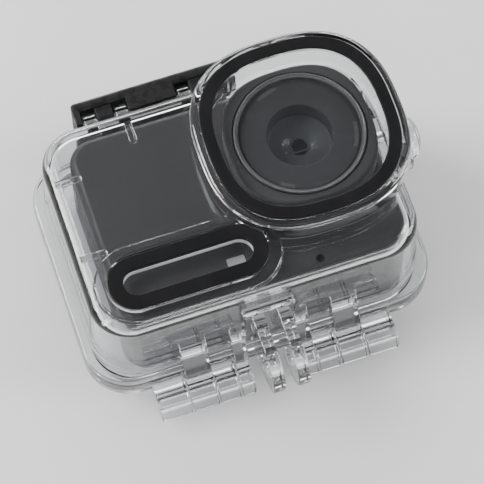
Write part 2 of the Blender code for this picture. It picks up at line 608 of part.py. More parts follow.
def build_camera_casing(parts, cutters):
    """Front housing and rear cover, two open shells that meet at the split line."""
    centre = (CAM_X, CAM_Y)
    housing = loft("camera_front_housing", [
        (rounded_rect(CAM_W, CAM_H, CAM_R, centre), CAM_SPLIT_Z + GAP),
        (rounded_rect(CAM_W, CAM_H, CAM_R, centre), CAM_FRONT_Z - 2.0),
        (rounded_rect(CAM_W - 1.2, CAM_H - 1.2, CAM_R - 0.6, centre), CAM_FRONT_Z - 0.7),
        (rounded_rect(CAM_W - 4.0, CAM_H - 4.0, CAM_R - 2.0, centre), CAM_FRONT_Z),
    ], parts)
    inner_w, inner_h, inner_r = CAM_W - 2 * CAM_WALL, CAM_H - 2 * CAM_WALL, CAM_R - CAM_WALL
    room = loft("housing_room", [
        (rounded_rect(inner_w, inner_h, inner_r, centre), CAM_SPLIT_Z - 1.0),
        (rounded_rect(inner_w, inner_h, inner_r, centre), CAM_FRONT_Z - 2.4),
    ], cutters)
    lens_hole = cylinders("housing_lens_hole", [(13.4, 20.0, 40.0, "Z", (PORT_X, PORT_Y))], cutters, 40)
    display_hole = plate("housing_display_hole", [rounded_rect(28.6, 13.0, 1.4, (-15.4, -13.6))],
                         CAM_FRONT_Z - 0.8, CAM_FRONT_Z + 2.0, cutters)
    battery_gap = boxes("housing_battery_gap", [((30.0, -18.6, 12.2), (42.0, 2.2, 27.8))], cutters)
    buttons = cylinders("housing_button_holes", [
        (3.3, 30.0, 45.0, "X", (POWER_Y, BUTTON_Z)),
        (4.3, 20.0, 32.0, "Y", (SHUTTER_X, BUTTON_Z)),
        (0.9, CAM_FRONT_Z - 1.2, CAM_FRONT_Z + 2.0, "Z", (PORT_X - 4.6, -21.6)),
    ], cutters)
    combine(housing, "DIFFERENCE", room, lens_hole, display_hole, battery_gap, buttons)
    rear = loft("camera_rear_cover", [
        (rounded_rect(CAM_W - 2.4, CAM_H - 2.4, CAM_R - 1.2, centre), CAM_BACK_Z),
        (rounded_rect(CAM_W, CAM_H, CAM_R, centre), CAM_BACK_Z + 1.2),
        (rounded_rect(CAM_W, CAM_H, CAM_R, centre), CAM_SPLIT_Z),
    ], parts)
    rear_room = plate("rear_room", [rounded_rect(inner_w, inner_h, inner_r, centre)],
                      CAM_BACK_Z + 1.8, CAM_SPLIT_Z + 2.0, cutters)
    screen_seat = plate("screen_seat", [rounded_rect(55.6, 36.6, 2.3, (CAM_X + 3.0, CAM_Y))],
                        CAM_BACK_Z - 2.0, CAM_BACK_Z + 1.1, cutters)
    combine(rear, "DIFFERENCE", rear_room, screen_seat)
    screen = plate("rear_screen_glass", [rounded_rect(55.0, 36.0, 2.0, (CAM_X + 3.0, CAM_Y))],
                   CAM_BACK_Z + 0.05, CAM_BACK_Z + 0.8, parts)
    return housing, rear, screen


def build_lens(parts, cutters):
    """Square cover with its window, then the barrel, its elements and the sensor on their common axis."""
    centre = (PORT_X, PORT_Y)
    frame = loft("lens_cover_frame", [
        (squircle(COVER_SIDE, centre), CAM_FRONT_Z + GAP),
        (squircle(COVER_SIDE, centre), COVER_TOP_Z - 1.2),
        (squircle(COVER_SIDE - 1.6, centre), COVER_TOP_Z),
    ], parts)
    bore = cylinders("cover_bore", [(14.2, 20.0, 45.0, "Z", centre)], cutters, 48)
    seat = cylinders("cover_seat", [(16.3, COVER_TOP_Z - 1.4, 45.0, "Z", centre)], cutters, 48)
    combine(frame, "DIFFERENCE", bore, seat)
    glass = cylinders("lens_cover_glass", [(14.6, COVER_TOP_Z - 1.1, COVER_TOP_Z - 0.1, "Z", centre)], parts, 48)
    ring = turned("lens_trim_ring", ring_profile(14.9, LENS_RING_R, COVER_TOP_Z - 1.1, COVER_TOP_Z + 0.3, 0.2),
                  "Z", centre, parts, 48)
    barrel = turned("lens_barrel", [
        (8.4, 35.6), (12.6, 35.6), (13.0, 35.2), (13.0, 29.0), (9.2, 25.0), (9.2, 17.4), (5.2, 17.4), (5.2, 19.6),
        (7.8, 19.6), (7.8, 33.2), (8.4, 35.6),
    ], "Z", centre, parts, 40)
    front = turned("front_lens_element", [
        (0.0, 36.2), (3.0, 35.9), (5.6, 35.0), (7.4, 33.4), (7.4, 32.4), (0.0, 32.0),
    ], "Z", centre, parts)
    rear = turned("rear_lens_element", [
        (0.0, 24.2), (4.6, 23.2), (6.6, 22.4), (6.6, 21.4), (0.0, 20.8),
    ], "Z", centre, parts)
    sensor = boxes("image_sensor", [((PORT_X - 4.4, PORT_Y - 4.4, 16.2), (PORT_X + 4.4, PORT_Y + 4.4, 17.0))], parts)
    board = boxes("sensor_board", [((PORT_X - 10.5, PORT_Y - 10.0, 14.9), (PORT_X + 8.8, PORT_Y + 10.0, 15.9))],
                  parts)
    return frame, glass, ring, barrel, front, rear, sensor, board


def build_camera_inside(parts):
    """Power, electronics and controls packed between the two covers."""
    pieces = {
        "main_board": ((-29.6, -22.0, 11.2), (28.0, 22.0, 12.2)),
        "battery_pack": ((-1.0, -22.0, 14.9 - 2.2), (28.9, -5.0, 27.4)),
        "battery_door": ((36.7, -18.2, 12.6), (CAM_X + CAM_W / 2 - 0.05, 1.8, 27.3)),
        "heat_spreader": ((-29.6, -21.8, 8.9), (27.5, 21.8, 9.5)),
        "front_display": ((-29.4, -19.8, 27.6), (-1.6, -7.4, 28.5)),
        "memory_card": ((-29.0, 4.0, 12.6), (-14.0, 15.0, 13.3)),
        "usb_connector": ((29.6, 8.6 - 4.0, 12.6 - 1.0), (36.2, 8.6 + 4.4 + 1.0, 14.8)),
        "microphone": ((-26.0, -2.0, 12.6), (-22.0, 1.0, 13.6)),
        "loudspeaker": ((-12.0, 14.0, 12.6), (0.0, 22.0, 16.6)),
    }
    made = {name: boxes(name, [span], parts) for name, span in pieces.items()}
    made["front_display_window"] = plate("front_display_window", [rounded_rect(28.0, 12.4, 1.1, (-15.4, -13.6))],
                                         CAM_FRONT_Z - 0.5, CAM_FRONT_Z - 0.05, parts)
    return made


def build_camera_buttons(parts):
    power = turned("camera_power_button", [
        (0.0, 38.6), (2.6, 38.6), (3.0, 38.2), (3.0, 36.2), (0.0, 36.2),
    ], "X", (POWER_Y, BUTTON_Z), parts, 24)
    shutter = turned("camera_shutter_button", [
        (0.0, 25.8), (3.5, 25.8), (4.0, 25.3), (4.0, 23.2), (0.0, 23.2),
    ], "Y", (SHUTTER_X, BUTTON_Z), parts, 24)
    return power, shutter


def hang(name, pieces, axis_point, collection):
    """Empty on a joint's axis that carries the pieces moving about it, which keep their places."""
    pivot = bpy.data.objects.new(name, None)
    pivot.location = Vector(axis_point) * MM
    collection.objects.link(pivot)
    bpy.context.view_layer.update()
    for piece in pieces:
        piece.parent = pivot
        piece.matrix_parent_inverse = pivot.matrix_world.inverted()


FINISH = {
    "rear_door": "clear_polycarbonate", "door_seal": "seal_silicone", "front_shell": "clear_polycarbonate",
    "port_glass": "clear_glass", "port_bezel": "black_bezel", "window_glass": "clear_glass",
    "window_bezel": "black_bezel", "latch_lever": "black_latch", "latch_hook": "black_latch",
    "latch_pin": "stainless_steel", "hinge_pin_left": "clear_polycarbonate",
    "hinge_pin_right": "clear_polycarbonate", "camera_front_housing": "camera_grey",
    "camera_rear_cover": "camera_grey", "rear_screen_glass": "screen_glass", "lens_cover_frame": "camera_grey",
    "lens_cover_glass": "lens_glass", "lens_trim_ring": "camera_dark", "lens_barrel": "camera_dark",
    "front_lens_element": "lens_glass", "rear_lens_element": "lens_glass", "image_sensor": "screen_glass",
    "sensor_board": "board_green", "main_board": "board_green", "battery_pack": "battery_grey",
    "battery_door": "camera_dark", "heat_spreader": "aluminium", "front_display": "display_grey",
    "front_display_window": "screen_glass", "memory_card": "camera_dark", "usb_connector": "stainless_steel",
    "microphone": "aluminium", "loudspeaker": "camera_dark", "camera_power_button": "button_grey",
    "camera_shutter_button": "button_grey",
}
BUTTON_FINISH = {"cap": "clear_polycarbonate", "stem": "stainless_steel", "spring": "stainless_steel",
                 "o_ring": "black_rubber", "collar": "clear_polycarbonate"}


def finish_parts(parts, materials):
    for item in parts.objects:
        finish = FINISH.get(item.name)
        if finish is None:
            finish = next(value for key, value in BUTTON_FINISH.items() if item.name.endswith(key))
        item.data.materials.clear()
        item.data.materials.append(materials[finish])


def main():
    clear_scene()
    parts = make_collection(ASSEMBLY)
    cutters = make_collection("cutters", hidden=True)
    build_rear_door(parts, cutters)
    build_front_shell(parts, cutters)
    build_port_and_window(parts)
    lever, hook, _ = build_latch(parts, cutters)
    build_hinge_pins(parts)
    side = build_button("side_button", "X", (POWER_Y, BUTTON_Z), SIDE_FLOOR, SIDE_MOUTH, 39.0, parts)
    shutter = build_button("shutter_button", "Y", (SHUTTER_X, BUTTON_Z), SHUTTER_FLOOR, SHUTTER_MOUTH, 26.2, parts)
    build_camera_casing(parts, cutters)
    build_lens(parts, cutters)
    build_camera_inside(parts)
    power, release = build_camera_buttons(parts)
    finish_parts(parts, make_materials())
    door_side = {"rear_door", "door_seal", "hinge_pin_left", "hinge_pin_right"}
    moving = {lever, hook, *side[:2], *shutter[:2], power, release}
    case = [item for item in parts.objects if item.name not in door_side and item not in moving]
    hang("latch_axis", [lever, hook], (0.0, LATCH_PIN_Y, LATCH_PIN_Z), parts)
    hang("side_button_axis", [*side[:2], power], (SIDE_MOUTH, POWER_Y, BUTTON_Z), parts)
    hang("shutter_button_axis", [*shutter[:2], release], (SHUTTER_X, SHUTTER_MOUTH, BUTTON_Z), parts)
    hang("case_axis", case, (0.0, HINGE_Y, HINGE_Z), parts)


main()
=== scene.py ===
"""Action camera sealed in a clear dive case: the looks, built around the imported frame.

Lengths are in millimetres in the case's own frame and become metres in Solid.mesh. The case lies on
its back door, X runs to the lens side, Y from the hinge to the latch, and Z out of the lens.
"""

import json
import logging
import math
from dataclasses import dataclass, field
from enum import Enum
from typing import Callable, Iterable, Sequence

import bmesh
import bpy
from mathutils import Matrix, Vector

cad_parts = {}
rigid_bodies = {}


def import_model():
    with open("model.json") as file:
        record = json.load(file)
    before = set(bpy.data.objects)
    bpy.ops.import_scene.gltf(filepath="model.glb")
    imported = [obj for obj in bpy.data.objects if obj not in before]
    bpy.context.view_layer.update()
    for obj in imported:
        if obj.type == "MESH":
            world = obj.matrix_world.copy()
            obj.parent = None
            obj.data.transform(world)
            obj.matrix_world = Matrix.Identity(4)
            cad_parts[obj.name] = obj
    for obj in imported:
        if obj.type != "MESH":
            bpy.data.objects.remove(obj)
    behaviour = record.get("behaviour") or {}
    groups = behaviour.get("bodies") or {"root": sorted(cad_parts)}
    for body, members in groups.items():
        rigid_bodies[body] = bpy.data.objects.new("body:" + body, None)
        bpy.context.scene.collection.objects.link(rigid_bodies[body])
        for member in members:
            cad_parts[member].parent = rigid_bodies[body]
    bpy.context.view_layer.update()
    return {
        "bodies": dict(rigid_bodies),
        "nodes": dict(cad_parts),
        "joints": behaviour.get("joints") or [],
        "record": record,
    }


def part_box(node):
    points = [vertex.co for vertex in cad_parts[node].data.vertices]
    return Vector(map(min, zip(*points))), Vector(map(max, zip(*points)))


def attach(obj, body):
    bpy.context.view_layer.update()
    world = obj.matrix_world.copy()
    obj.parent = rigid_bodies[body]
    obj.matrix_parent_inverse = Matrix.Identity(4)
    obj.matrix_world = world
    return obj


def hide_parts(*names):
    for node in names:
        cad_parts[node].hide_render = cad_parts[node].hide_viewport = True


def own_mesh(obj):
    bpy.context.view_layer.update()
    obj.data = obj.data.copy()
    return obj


MM = 0.001
Point = tuple[float, float]
Colour = tuple[float, float, float]
Outline = list[Point]
Section = tuple[Outline, float]
log = logging.getLogger("dive_case")

LENS_CENTRE: Point = (20.3, 7.0)
WINDOW_CENTRE: Point = (-15.4, -16.3)
HINGE_CENTRE: Point = (-36.1, 5.4)
HINGE_BORE = 1.32
PRONG_CENTRE: Point = (-39.6, 21.4)
MOUNT_SCREW_BORE = 2.5
LATCH_CENTRE: Point = (31.6, 25.6)
LATCH_SPAN: Point = (-28.5, 10.5)
LATCH_BORE = 1.07
CASE_FLANGE = (87.8, 63.0, 11.5)


# ---------------------------------------------------------------- outlines


def rounded_rect(width: float, height: float, radius: float, centre: Point = (0.0, 0.0),
                 steps: int = 14) -> Outline:
    """Rectangle with quarter-round corners.

    Args:
        width: Full size along X.
        height: Full size along Y.
        radius: Corner radius.
        centre: Centre of the rectangle.
        steps: Segments in each corner.

    Returns:
        Counter-clockwise points.
    """
    points = []
    for quarter, (sx, sy) in enumerate(((1, 1), (-1, 1), (-1, -1), (1, -1))):
        cx = centre[0] + sx * (width / 2 - radius)
        cy = centre[1] + sy * (height / 2 - radius)
        for step in range(steps + 1):
            angle = math.radians(90 * quarter + 90 * step / steps)
            points.append((cx + radius * math.cos(angle), cy + radius * math.sin(angle)))
    return points


def stadium(width: float, height: float, centre: Point = (0.0, 0.0), steps: int = 18) -> Outline:
    """Rectangle with fully round ends."""
    return rounded_rect(width, height, height / 2 - 0.001, centre, steps)


def squircle(side: float, centre: Point = (0.0, 0.0), power: float = 2.6, count: int = 144) -> Outline:
    """Square with continuously curved sides.

    Args:
        side: Full size across the flats.
        centre: Centre of the square.
        power: Exponent of the superellipse; 2 is a circle.
        count: Number of points.

    Returns:
        Counter-clockwise points.
    """
    points = []
    for index in range(count):
        angle = math.tau * (index + 0.5) / count
        c, s = math.cos(angle), math.sin(angle)
        x = math.copysign(abs(c) ** (2 / power), c) * side / 2
        y = math.copysign(abs(s) ** (2 / power), s) * side / 2
        points.append((centre[0] + x, centre[1] + y))
    return points


def circle(radius: float, centre: Point = (0.0, 0.0), count: int = 96) -> Outline:
    """Round outline."""
    return [(centre[0] + radius * math.cos(math.tau * i / count),
             centre[1] + radius * math.sin(math.tau * i / count)) for i in range(count)]


def arc(centre: Point, radius: float, first: float, last: float, steps: int = 24) -> Outline:
    """Points on an arc between two angles in degrees."""
    angles = [math.radians(first + (last - first) * step / steps) for step in range(steps + 1)]
    return [(centre[0] + radius * math.cos(a), centre[1] + radius * math.sin(a)) for a in angles]


def quarter_round(make: Callable[[float], Outline], top: float, radius: float,
                  steps: int = 6) -> list[Section]:
    """Sections that round over the top edge of a stack.

    Args:
        make: Gives the outline for an inset from the full size.
        top: Height of the finished top.
        radius: Radius of the rounded edge.
        steps: Segments in the quarter round.

    Returns:
        Sections from the start of the round to the top.
    """
    sections = []
    for step in range(steps + 1):
        angle = math.radians(90 * step / steps)
        sections.append((make(radius * (1 - math.cos(angle))), top - radius + radius * math.sin(angle)))
    return sections


def flare(make: Callable[[float], Outline], foot: float, radius: float, steps: int = 5) -> list[Section]:
    """Sections of a hollow fillet that spreads towards its foot.

    Args:
        make: Outline by inset.
        foot: Height of the widest section.
        radius: Radius of the fillet.
        steps: Segments in the fillet.

    Returns:
        Sections from the foot upwards.
    """
    sections = []
    for step in range(steps + 1):
        angle = math.radians(90 * step / steps)
        sections.append((make(-radius * (1 - math.sin(angle))), foot + radius * (1 - math.cos(angle))))
    return sections


# ---------------------------------------------------------------- solids


class Axis(Enum):
    """Axis that a turned or drilled shape follows, with the turn that carries Z onto it."""

    X = ("X", Matrix.Rotation(math.radians(90), 4, "Y"))
    Y = ("Y", Matrix.Rotation(math.radians(-90), 4, "X"))
    Z = ("Z", Matrix.Identity(4))

    def place(self, centre: Point) -> Matrix:
        """Transform that puts a shape built on Z onto this axis at a centre, in millimetres."""
        spots = {"X": (0.0, centre[0], centre[1]), "Y": (centre[0], 0.0, centre[1]), "Z": (*centre, 0.0)}
        return Matrix.Translation(Vector(spots[self.value[0]])) @ self.value[1]


@dataclass(frozen=True)
class ButtonSeat:
    """Where a push button sits, measured along its axis from the middle of the case."""

    axis: Axis
    centre: Point
    cup_foot: float
    floor: float
    mouth: float
    stem_end: float
    key_hole: float


SIDE_SEAT = ButtonSeat(Axis.X, (6.1, 19.4), 39.0, 43.4, 47.4, 39.0, 3.3)
SHUTTER_SEAT = ButtonSeat(Axis.Y, (22.0, 19.4), 26.4, 30.6, 34.6, 26.2, 4.3)


@dataclass
class Solid:
    """A closed mesh being built in millimetres."""

    name: str
    work: bmesh.types.BMesh = field(default_factory=bmesh.new)

    def loft(self, sections: Sequence[Section]) -> "Solid":
        """Adds a closed stack of outlines with equal point counts.

        Args:
            sections: Outlines with their heights, from the lowest up.

        Returns:
            This solid.
        """
        rings = [[self.work.verts.new((x, y, z)) for x, y in outline] for outline, z in sections]
        for low, high in zip(rings, rings[1:]):
            for index in range(len(low)):
                after = (index + 1) % len(low)
                self.work.faces.new((low[index], low[after], high[after], high[index]))
        self.work.faces.new(list(reversed(rings[0])))
        self.work.faces.new(rings[-1])
        return self

    def tube(self, sections: Sequence[Section]) -> "Solid":
        """Adds a closed ring; the sections run round its whole cross-section and meet again.

        Args:
            sections: Outlines with their heights, round the cross-section.

        Returns:
            This solid.
        """
        rings = [[self.work.verts.new((x, y, z)) for x, y in outline] for outline, z in sections]
        for low, high in zip(rings, rings[1:] + rings[:1]):
            for index in range(len(low)):
                after = (index + 1) % len(low)
                self.work.faces.new((low[index], low[after], high[after], high[index]))
        return self

    def slab_x(self, outline_yz: Outline, spans: Iterable[Point], edge: float = 0.0) -> "Solid":
        """Adds flat pieces whose outline lies in the YZ plane.

        Args:
            outline_yz: Outline as (y, z) points.
            spans: Start and end of each piece along X.
            edge: Width of the rounded edges.

        Returns:
            This solid.
        """
        piece = bmesh.new()
        for start, end in spans:
            rings = [[piece.verts.new((x, y, z)) for y, z in outline_yz] for x in (start, end)]
            for index in range(len(outline_yz)):
                after = (index + 1) % len(outline_yz)
                piece.faces.new((rings[0][index], rings[0][after], rings[1][after], rings[1][index]))
            piece.faces.new(rings[0])
            piece.faces.new(rings[1])
        return self.absorb(piece, edge)

    def box(self, low: Sequence[float], high: Sequence[float], edge: float = 0.0) -> "Solid":
        """Adds a block between two corners, with rounded edges where edge is above zero.

        Args:
            low: Lowest corner.
            high: Highest corner.
            edge: Width of the rounded edges.

        Returns:
            This solid.
        """
        piece = bmesh.new()
        size = [b - a for a, b in zip(low, high)]
        centre = Vector([(a + b) / 2 for a, b in zip(low, high)])
        bmesh.ops.create_cube(piece, size=1.0,
                              matrix=Matrix.Translation(centre) @ Matrix.Diagonal((*size, 1.0)))
        return self.absorb(piece, edge)

    def rod(self, radius: float, start: float, end: float, axis: Axis, centre: Point,
            count: int = 48) -> "Solid":
        """Adds a cylinder along an axis.

        Args:
            radius: Radius of the cylinder.
            start: First end along the axis.
            end: Second end along the axis.
            axis: Axis of the cylinder.
            centre: Place of the axis in the other two coordinates.
            count: Segments round the axis.

        Returns:
            This solid.
        """
        place = axis.place(centre) @ Matrix.Translation((0, 0, (start + end) / 2))
        bmesh.ops.create_cone(self.work, cap_ends=True, segments=count, radius1=radius, radius2=radius,
                              depth=end - start, matrix=place)
        return self

    def turn(self, profile: Sequence[Point], axis: Axis, centre: Point, count: int = 72) -> "Solid":
        """Adds a turned shape. Profile points are (radius, distance along the axis).

        Args:
            profile: Section from the axis round to the axis, or a closed ring section.
            axis: Axis of the turning.
            centre: Place of the axis in the other two coordinates.
            count: Segments round the axis.

        Returns:
            This solid.
        """
        piece = bmesh.new()
        closed = profile[0][0] > 0 and profile[-1][0] > 0
        rings = []
        for radius, height in profile:
            if radius <= 0:
                rings.append([piece.verts.new((0.0, 0.0, height))])
            else:
                rings.append([piece.verts.new((x, y, height)) for x, y in circle(radius, count=count)])
        pairs = list(zip(rings, rings[1:])) + ([(rings[-1], rings[0])] if closed else [])
        for one, two in pairs:
            for index in range(count):
                after = (index + 1) % count
                corners = [one[index % len(one)], one[after % len(one)], two[after % len(two)],
                           two[index % len(two)]]
                distinct = list(dict.fromkeys(corners))
                if len(distinct) > 2:
                    piece.faces.new(distinct)
        bmesh.ops.transform(piece, matrix=axis.place(centre), verts=piece.verts)
        return self.absorb(piece)

    def absorb(self, piece: bmesh.types.BMesh, edge: float = 0.0) -> "Solid":
        """Adds another work mesh, after rounding its sharp edges.

        Args:
            piece: Work mesh, which is used up.
            edge: Width of the rounded edges.

        Returns:
            This solid.
        """
        bmesh.ops.recalc_face_normals(piece, faces=piece.faces)
        if edge:
            sharp = [e for e in piece.edges if e.calc_face_angle(0.0) > math.radians(30)]
            bmesh.ops.bevel(piece, geom=sharp, offset=edge, segments=3, profile=0.5, affect="EDGES",
                            clamp_overlap=True)
        held = bpy.data.meshes.new("held")
        piece.to_mesh(held)
        piece.free()
        self.work.from_mesh(held)
        bpy.data.meshes.remove(held)
        return self

    def mesh(self) -> bpy.types.Object:
        """Finishes the solid as an object in metres, faces outwards.

        Returns:
            The object, at the origin.
        """
        bmesh.ops.recalc_face_normals(self.work, faces=self.work.faces)
        bmesh.ops.scale(self.work, vec=(MM, MM, MM), verts=self.work.verts)
        data = bpy.data.meshes.new(self.name)
        self.work.to_mesh(data)
        self.work.free()
        made = bpy.data.objects.new(self.name, data)
        bpy.context.scene.collection.objects.link(made)
        return made


def settle(piece: bpy.types.Object) -> bpy.types.Object:
    """Applies every modifier of a piece to its mesh.

    Args:
        piece: Piece with live modifiers.

    Returns:
        The piece, with none.
    """
    bpy.context.view_layer.update()
    evaluated = piece.evaluated_get(bpy.context.evaluated_depsgraph_get())
    data = bpy.data.meshes.new_from_object(evaluated)
    piece.modifiers.clear()
    piece.data = data
    return piece


def combine(target: bpy.types.Object, operation: str, tools: Iterable[bpy.types.Object]) -> bpy.types.Object:
    """Joins or cuts a piece with other solids and removes them.

    Args:
        target: Piece that is changed.
        operation: UNION or DIFFERENCE.
        tools: Solids used in order.

    Returns:
        The target.
    """
    tools = list(tools)
    for tool in tools:
        step = target.modifiers.new(tool.name, "BOOLEAN")
        step.operation = operation
        step.solver = "EXACT"
        step.object = tool
    settle(target)
    for tool in tools:
        bpy.data.objects.remove(tool, do_unlink=True)
    return target


def smooth(piece: bpy.types.Object, angle: float = 32.0) -> bpy.types.Object:
    """Shades a piece smooth up to an angle and keeps its flats flat.

    Args:
        piece: Piece to shade.
        angle: Edges sharper than this many degrees stay sharp.

    Returns:
        The piece.
    """
    piece.data.shade_smooth()
    piece.data.set_sharp_from_angle(angle=math.radians(angle))
    even = piece.modifiers.new("even_shading", "WEIGHTED_NORMAL")
    even.keep_sharp = True
    even.weight = 60
    return settle(piece)


def clean(piece: bpy.types.Object, reach: float = 0.000004) -> bpy.types.Object:
    """Welds the tiny gaps that a cut leaves.

    Args:
        piece: Piece to weld.
        reach: Distance in metres under which corners join.

    Returns:
        The piece.
    """
    work = bmesh.new()
    work.from_mesh(piece.data)
    bmesh.ops.remove_doubles(work, verts=work.verts, dist=reach)
    bmesh.ops.dissolve_degenerate(work, edges=work.edges, dist=reach / 4)
    work.to_mesh(piece.data)
    work.free()
    return piece


def mark_wear(piece: bpy.types.Object, sharp: float = 18.0) -> bpy.types.Object:
    """Stores on each vertex how much it lies on an outer edge, for worn edges.

    Args:
        piece: Piece to measure.
        sharp: Angle in degrees above which an edge counts in full.

    Returns:
        The piece, with a float attribute named worn.
    """
    work = bmesh.new()
    work.from_mesh(piece.data)
    shares = [0.0] * len(work.verts)
    for edge in work.edges:
        if len(edge.link_faces) == 2 and edge.is_convex:
            share = min(1.0, edge.calc_face_angle(0.0) / math.radians(sharp))
            for vert in edge.verts:
                shares[vert.index] = max(shares[vert.index], share)
    work.free()
    store = piece.data.attributes.get("worn") or piece.data.attributes.new("worn", "FLOAT", "POINT")
    store.data.foreach_set("value", shares)
    return piece


# ---------------------------------------------------------------- shader maths


class Signal:
    """A node socket that can be used in Python arithmetic."""

    def __init__(self, writer: "TreeWriter", socket: bpy.types.NodeSocket) -> None:
        """Keeps the socket and the tree that it belongs to."""
        self.writer = writer
        self.socket = socket

    def _with(self, operation: str, other: "Signal | float", swapped: bool = False) -> "Signal":
        """Adds one Math node."""
        pair = (other, self) if swapped else (self, other)
        return self.writer.add("ShaderNodeMath", {"operation": operation}, {0: pair[0], 1: pair[1]})

    def __add__(self, other: "Signal | float") -> "Signal":
        """Sum."""
        return self._with("ADD", other)

    def __sub__(self, other: "Signal | float") -> "Signal":
        """Difference."""
        return self._with("SUBTRACT", other)

    def __rsub__(self, other: float) -> "Signal":
        """Difference from a number."""
        return self._with("SUBTRACT", other, True)

    def __mul__(self, other: "Signal | float") -> "Signal":
        """Product."""
        return self._with("MULTIPLY", other)

    def __truediv__(self, other: "Signal | float") -> "Signal":
        """Quotient."""
        return self._with("DIVIDE", other)

    def __pow__(self, other: float) -> "Signal":
        """Power."""
        return self._with("POWER", other)

    def __gt__(self, other: "Signal | float") -> "Signal":
        """One where this is the greater."""
        return self._with("GREATER_THAN", other)

    def __lt__(self, other: "Signal | float") -> "Signal":
        """One where this is the smaller."""
        return self._with("LESS_THAN", other)

    __radd__ = __add__
    __rmul__ = __mul__


class TreeWriter:
    """Adds nodes to a tree, for materials and for repeated shapes alike."""

    tree: bpy.types.NodeTree

    def add(self, kind: str, settings: dict | None = None, inputs: dict | None = None,
            output: int | str = 0) -> Signal:
        """Adds any node.

        Args:
            kind: Node type.
            settings: Properties set first; a ramp takes its stops as (place, colour) pairs under "stops".
            inputs: Socket index or name to a value or a Signal.
            output: Output socket that is returned.

        Returns:
            The chosen output.
        """
        node = self.tree.nodes.new(kind)
        for name, value in (settings or {}).items():
            if name == "stops":
                self._set_stops(node, value)
            else:
                setattr(node, name, value)
        for key, value in (inputs or {}).items():
            if isinstance(value, Signal):
                self.tree.links.new(value.socket, node.inputs[key])
            else:
                node.inputs[key].default_value = value
        return Signal(self, node.outputs[output])

    @staticmethod
    def _set_stops(node: bpy.types.Node, stops: Sequence[tuple[float, Sequence[float]]]) -> None:
        """Fills a colour ramp.

        Args:
            node: Ramp node.
            stops: Places from 0 to 1 with their colours.
        """
        ramp = node.color_ramp
        while len(ramp.elements) < len(stops):
            ramp.elements.new(1.0)
        for element, (place, colour) in zip(ramp.elements, stops):
            element.position = place
            element.color = (*colour, 1.0)


class Paint(TreeWriter):
    """A material's node tree under construction."""

    def __init__(self, name: str) -> None:
        """Starts an empty material.

        Args:
            name: Name of the material.
        """
        self.material = bpy.data.materials.new(name)
        self.material.use_nodes = True
        self.tree = self.material.node_tree
        self.tree.nodes.clear()
        self.output = self.tree.nodes.new("ShaderNodeOutputMaterial")

    def where(self) -> Signal:
        """Object coordinates in metres."""
        return self.add("ShaderNodeTexCoord", output="Object")

    def noise(self, scale: float, detail: float = 3.0, rough: float = 0.55,
              at: Signal | None = None) -> Signal:
        """Soft noise from 0 to 1; scale is in repeats a metre."""
        return self.add("ShaderNodeTexNoise", inputs={"Vector": at or self.where(), "Scale": scale,
                                                      "Detail": detail, "Roughness": rough})

    def stretched(self, scale: Sequence[float], turn: Sequence[float] = (0.0, 0.0, 0.0)) -> Signal:
        """Object coordinates stretched along the axes, for brushed marks and scratches."""
        return self.add("ShaderNodeMapping",
                        inputs={"Vector": self.where(), "Scale": scale, "Rotation": turn})

    def blend(self, share: Signal | float, one: Sequence[float] | Signal,
              two: Sequence[float] | Signal) -> Signal:
        """Mix of two colours."""
        sides = [side if isinstance(side, Signal) else (*side, 1.0) for side in (one, two)]
        return self.add("ShaderNodeMix", {"data_type": "RGBA"}, {0: share, 6: sides[0], 7: sides[1]}, 2)

    def bump(self, height: Signal, distance: float, strength: float = 1.0) -> Signal:
        """Normal from a height; distance is in metres."""
        return self.add("ShaderNodeBump",
                        inputs={"Height": height, "Distance": distance, "Strength": strength})

    def worn(self) -> Signal:
        """How much a point lies on an outer edge."""
        return self.add("ShaderNodeAttribute", {"attribute_name": "worn"}, output="Fac")

    def surface(self, inputs: dict) -> Signal:
        """Principled shader."""
        return self.add("ShaderNodeBsdfPrincipled", inputs=inputs)

    def done(self, shader: Signal) -> bpy.types.Material:
        """Connects the shader to the output."""
        self.tree.links.new(shader.socket, self.output.inputs["Surface"])
        return self.material


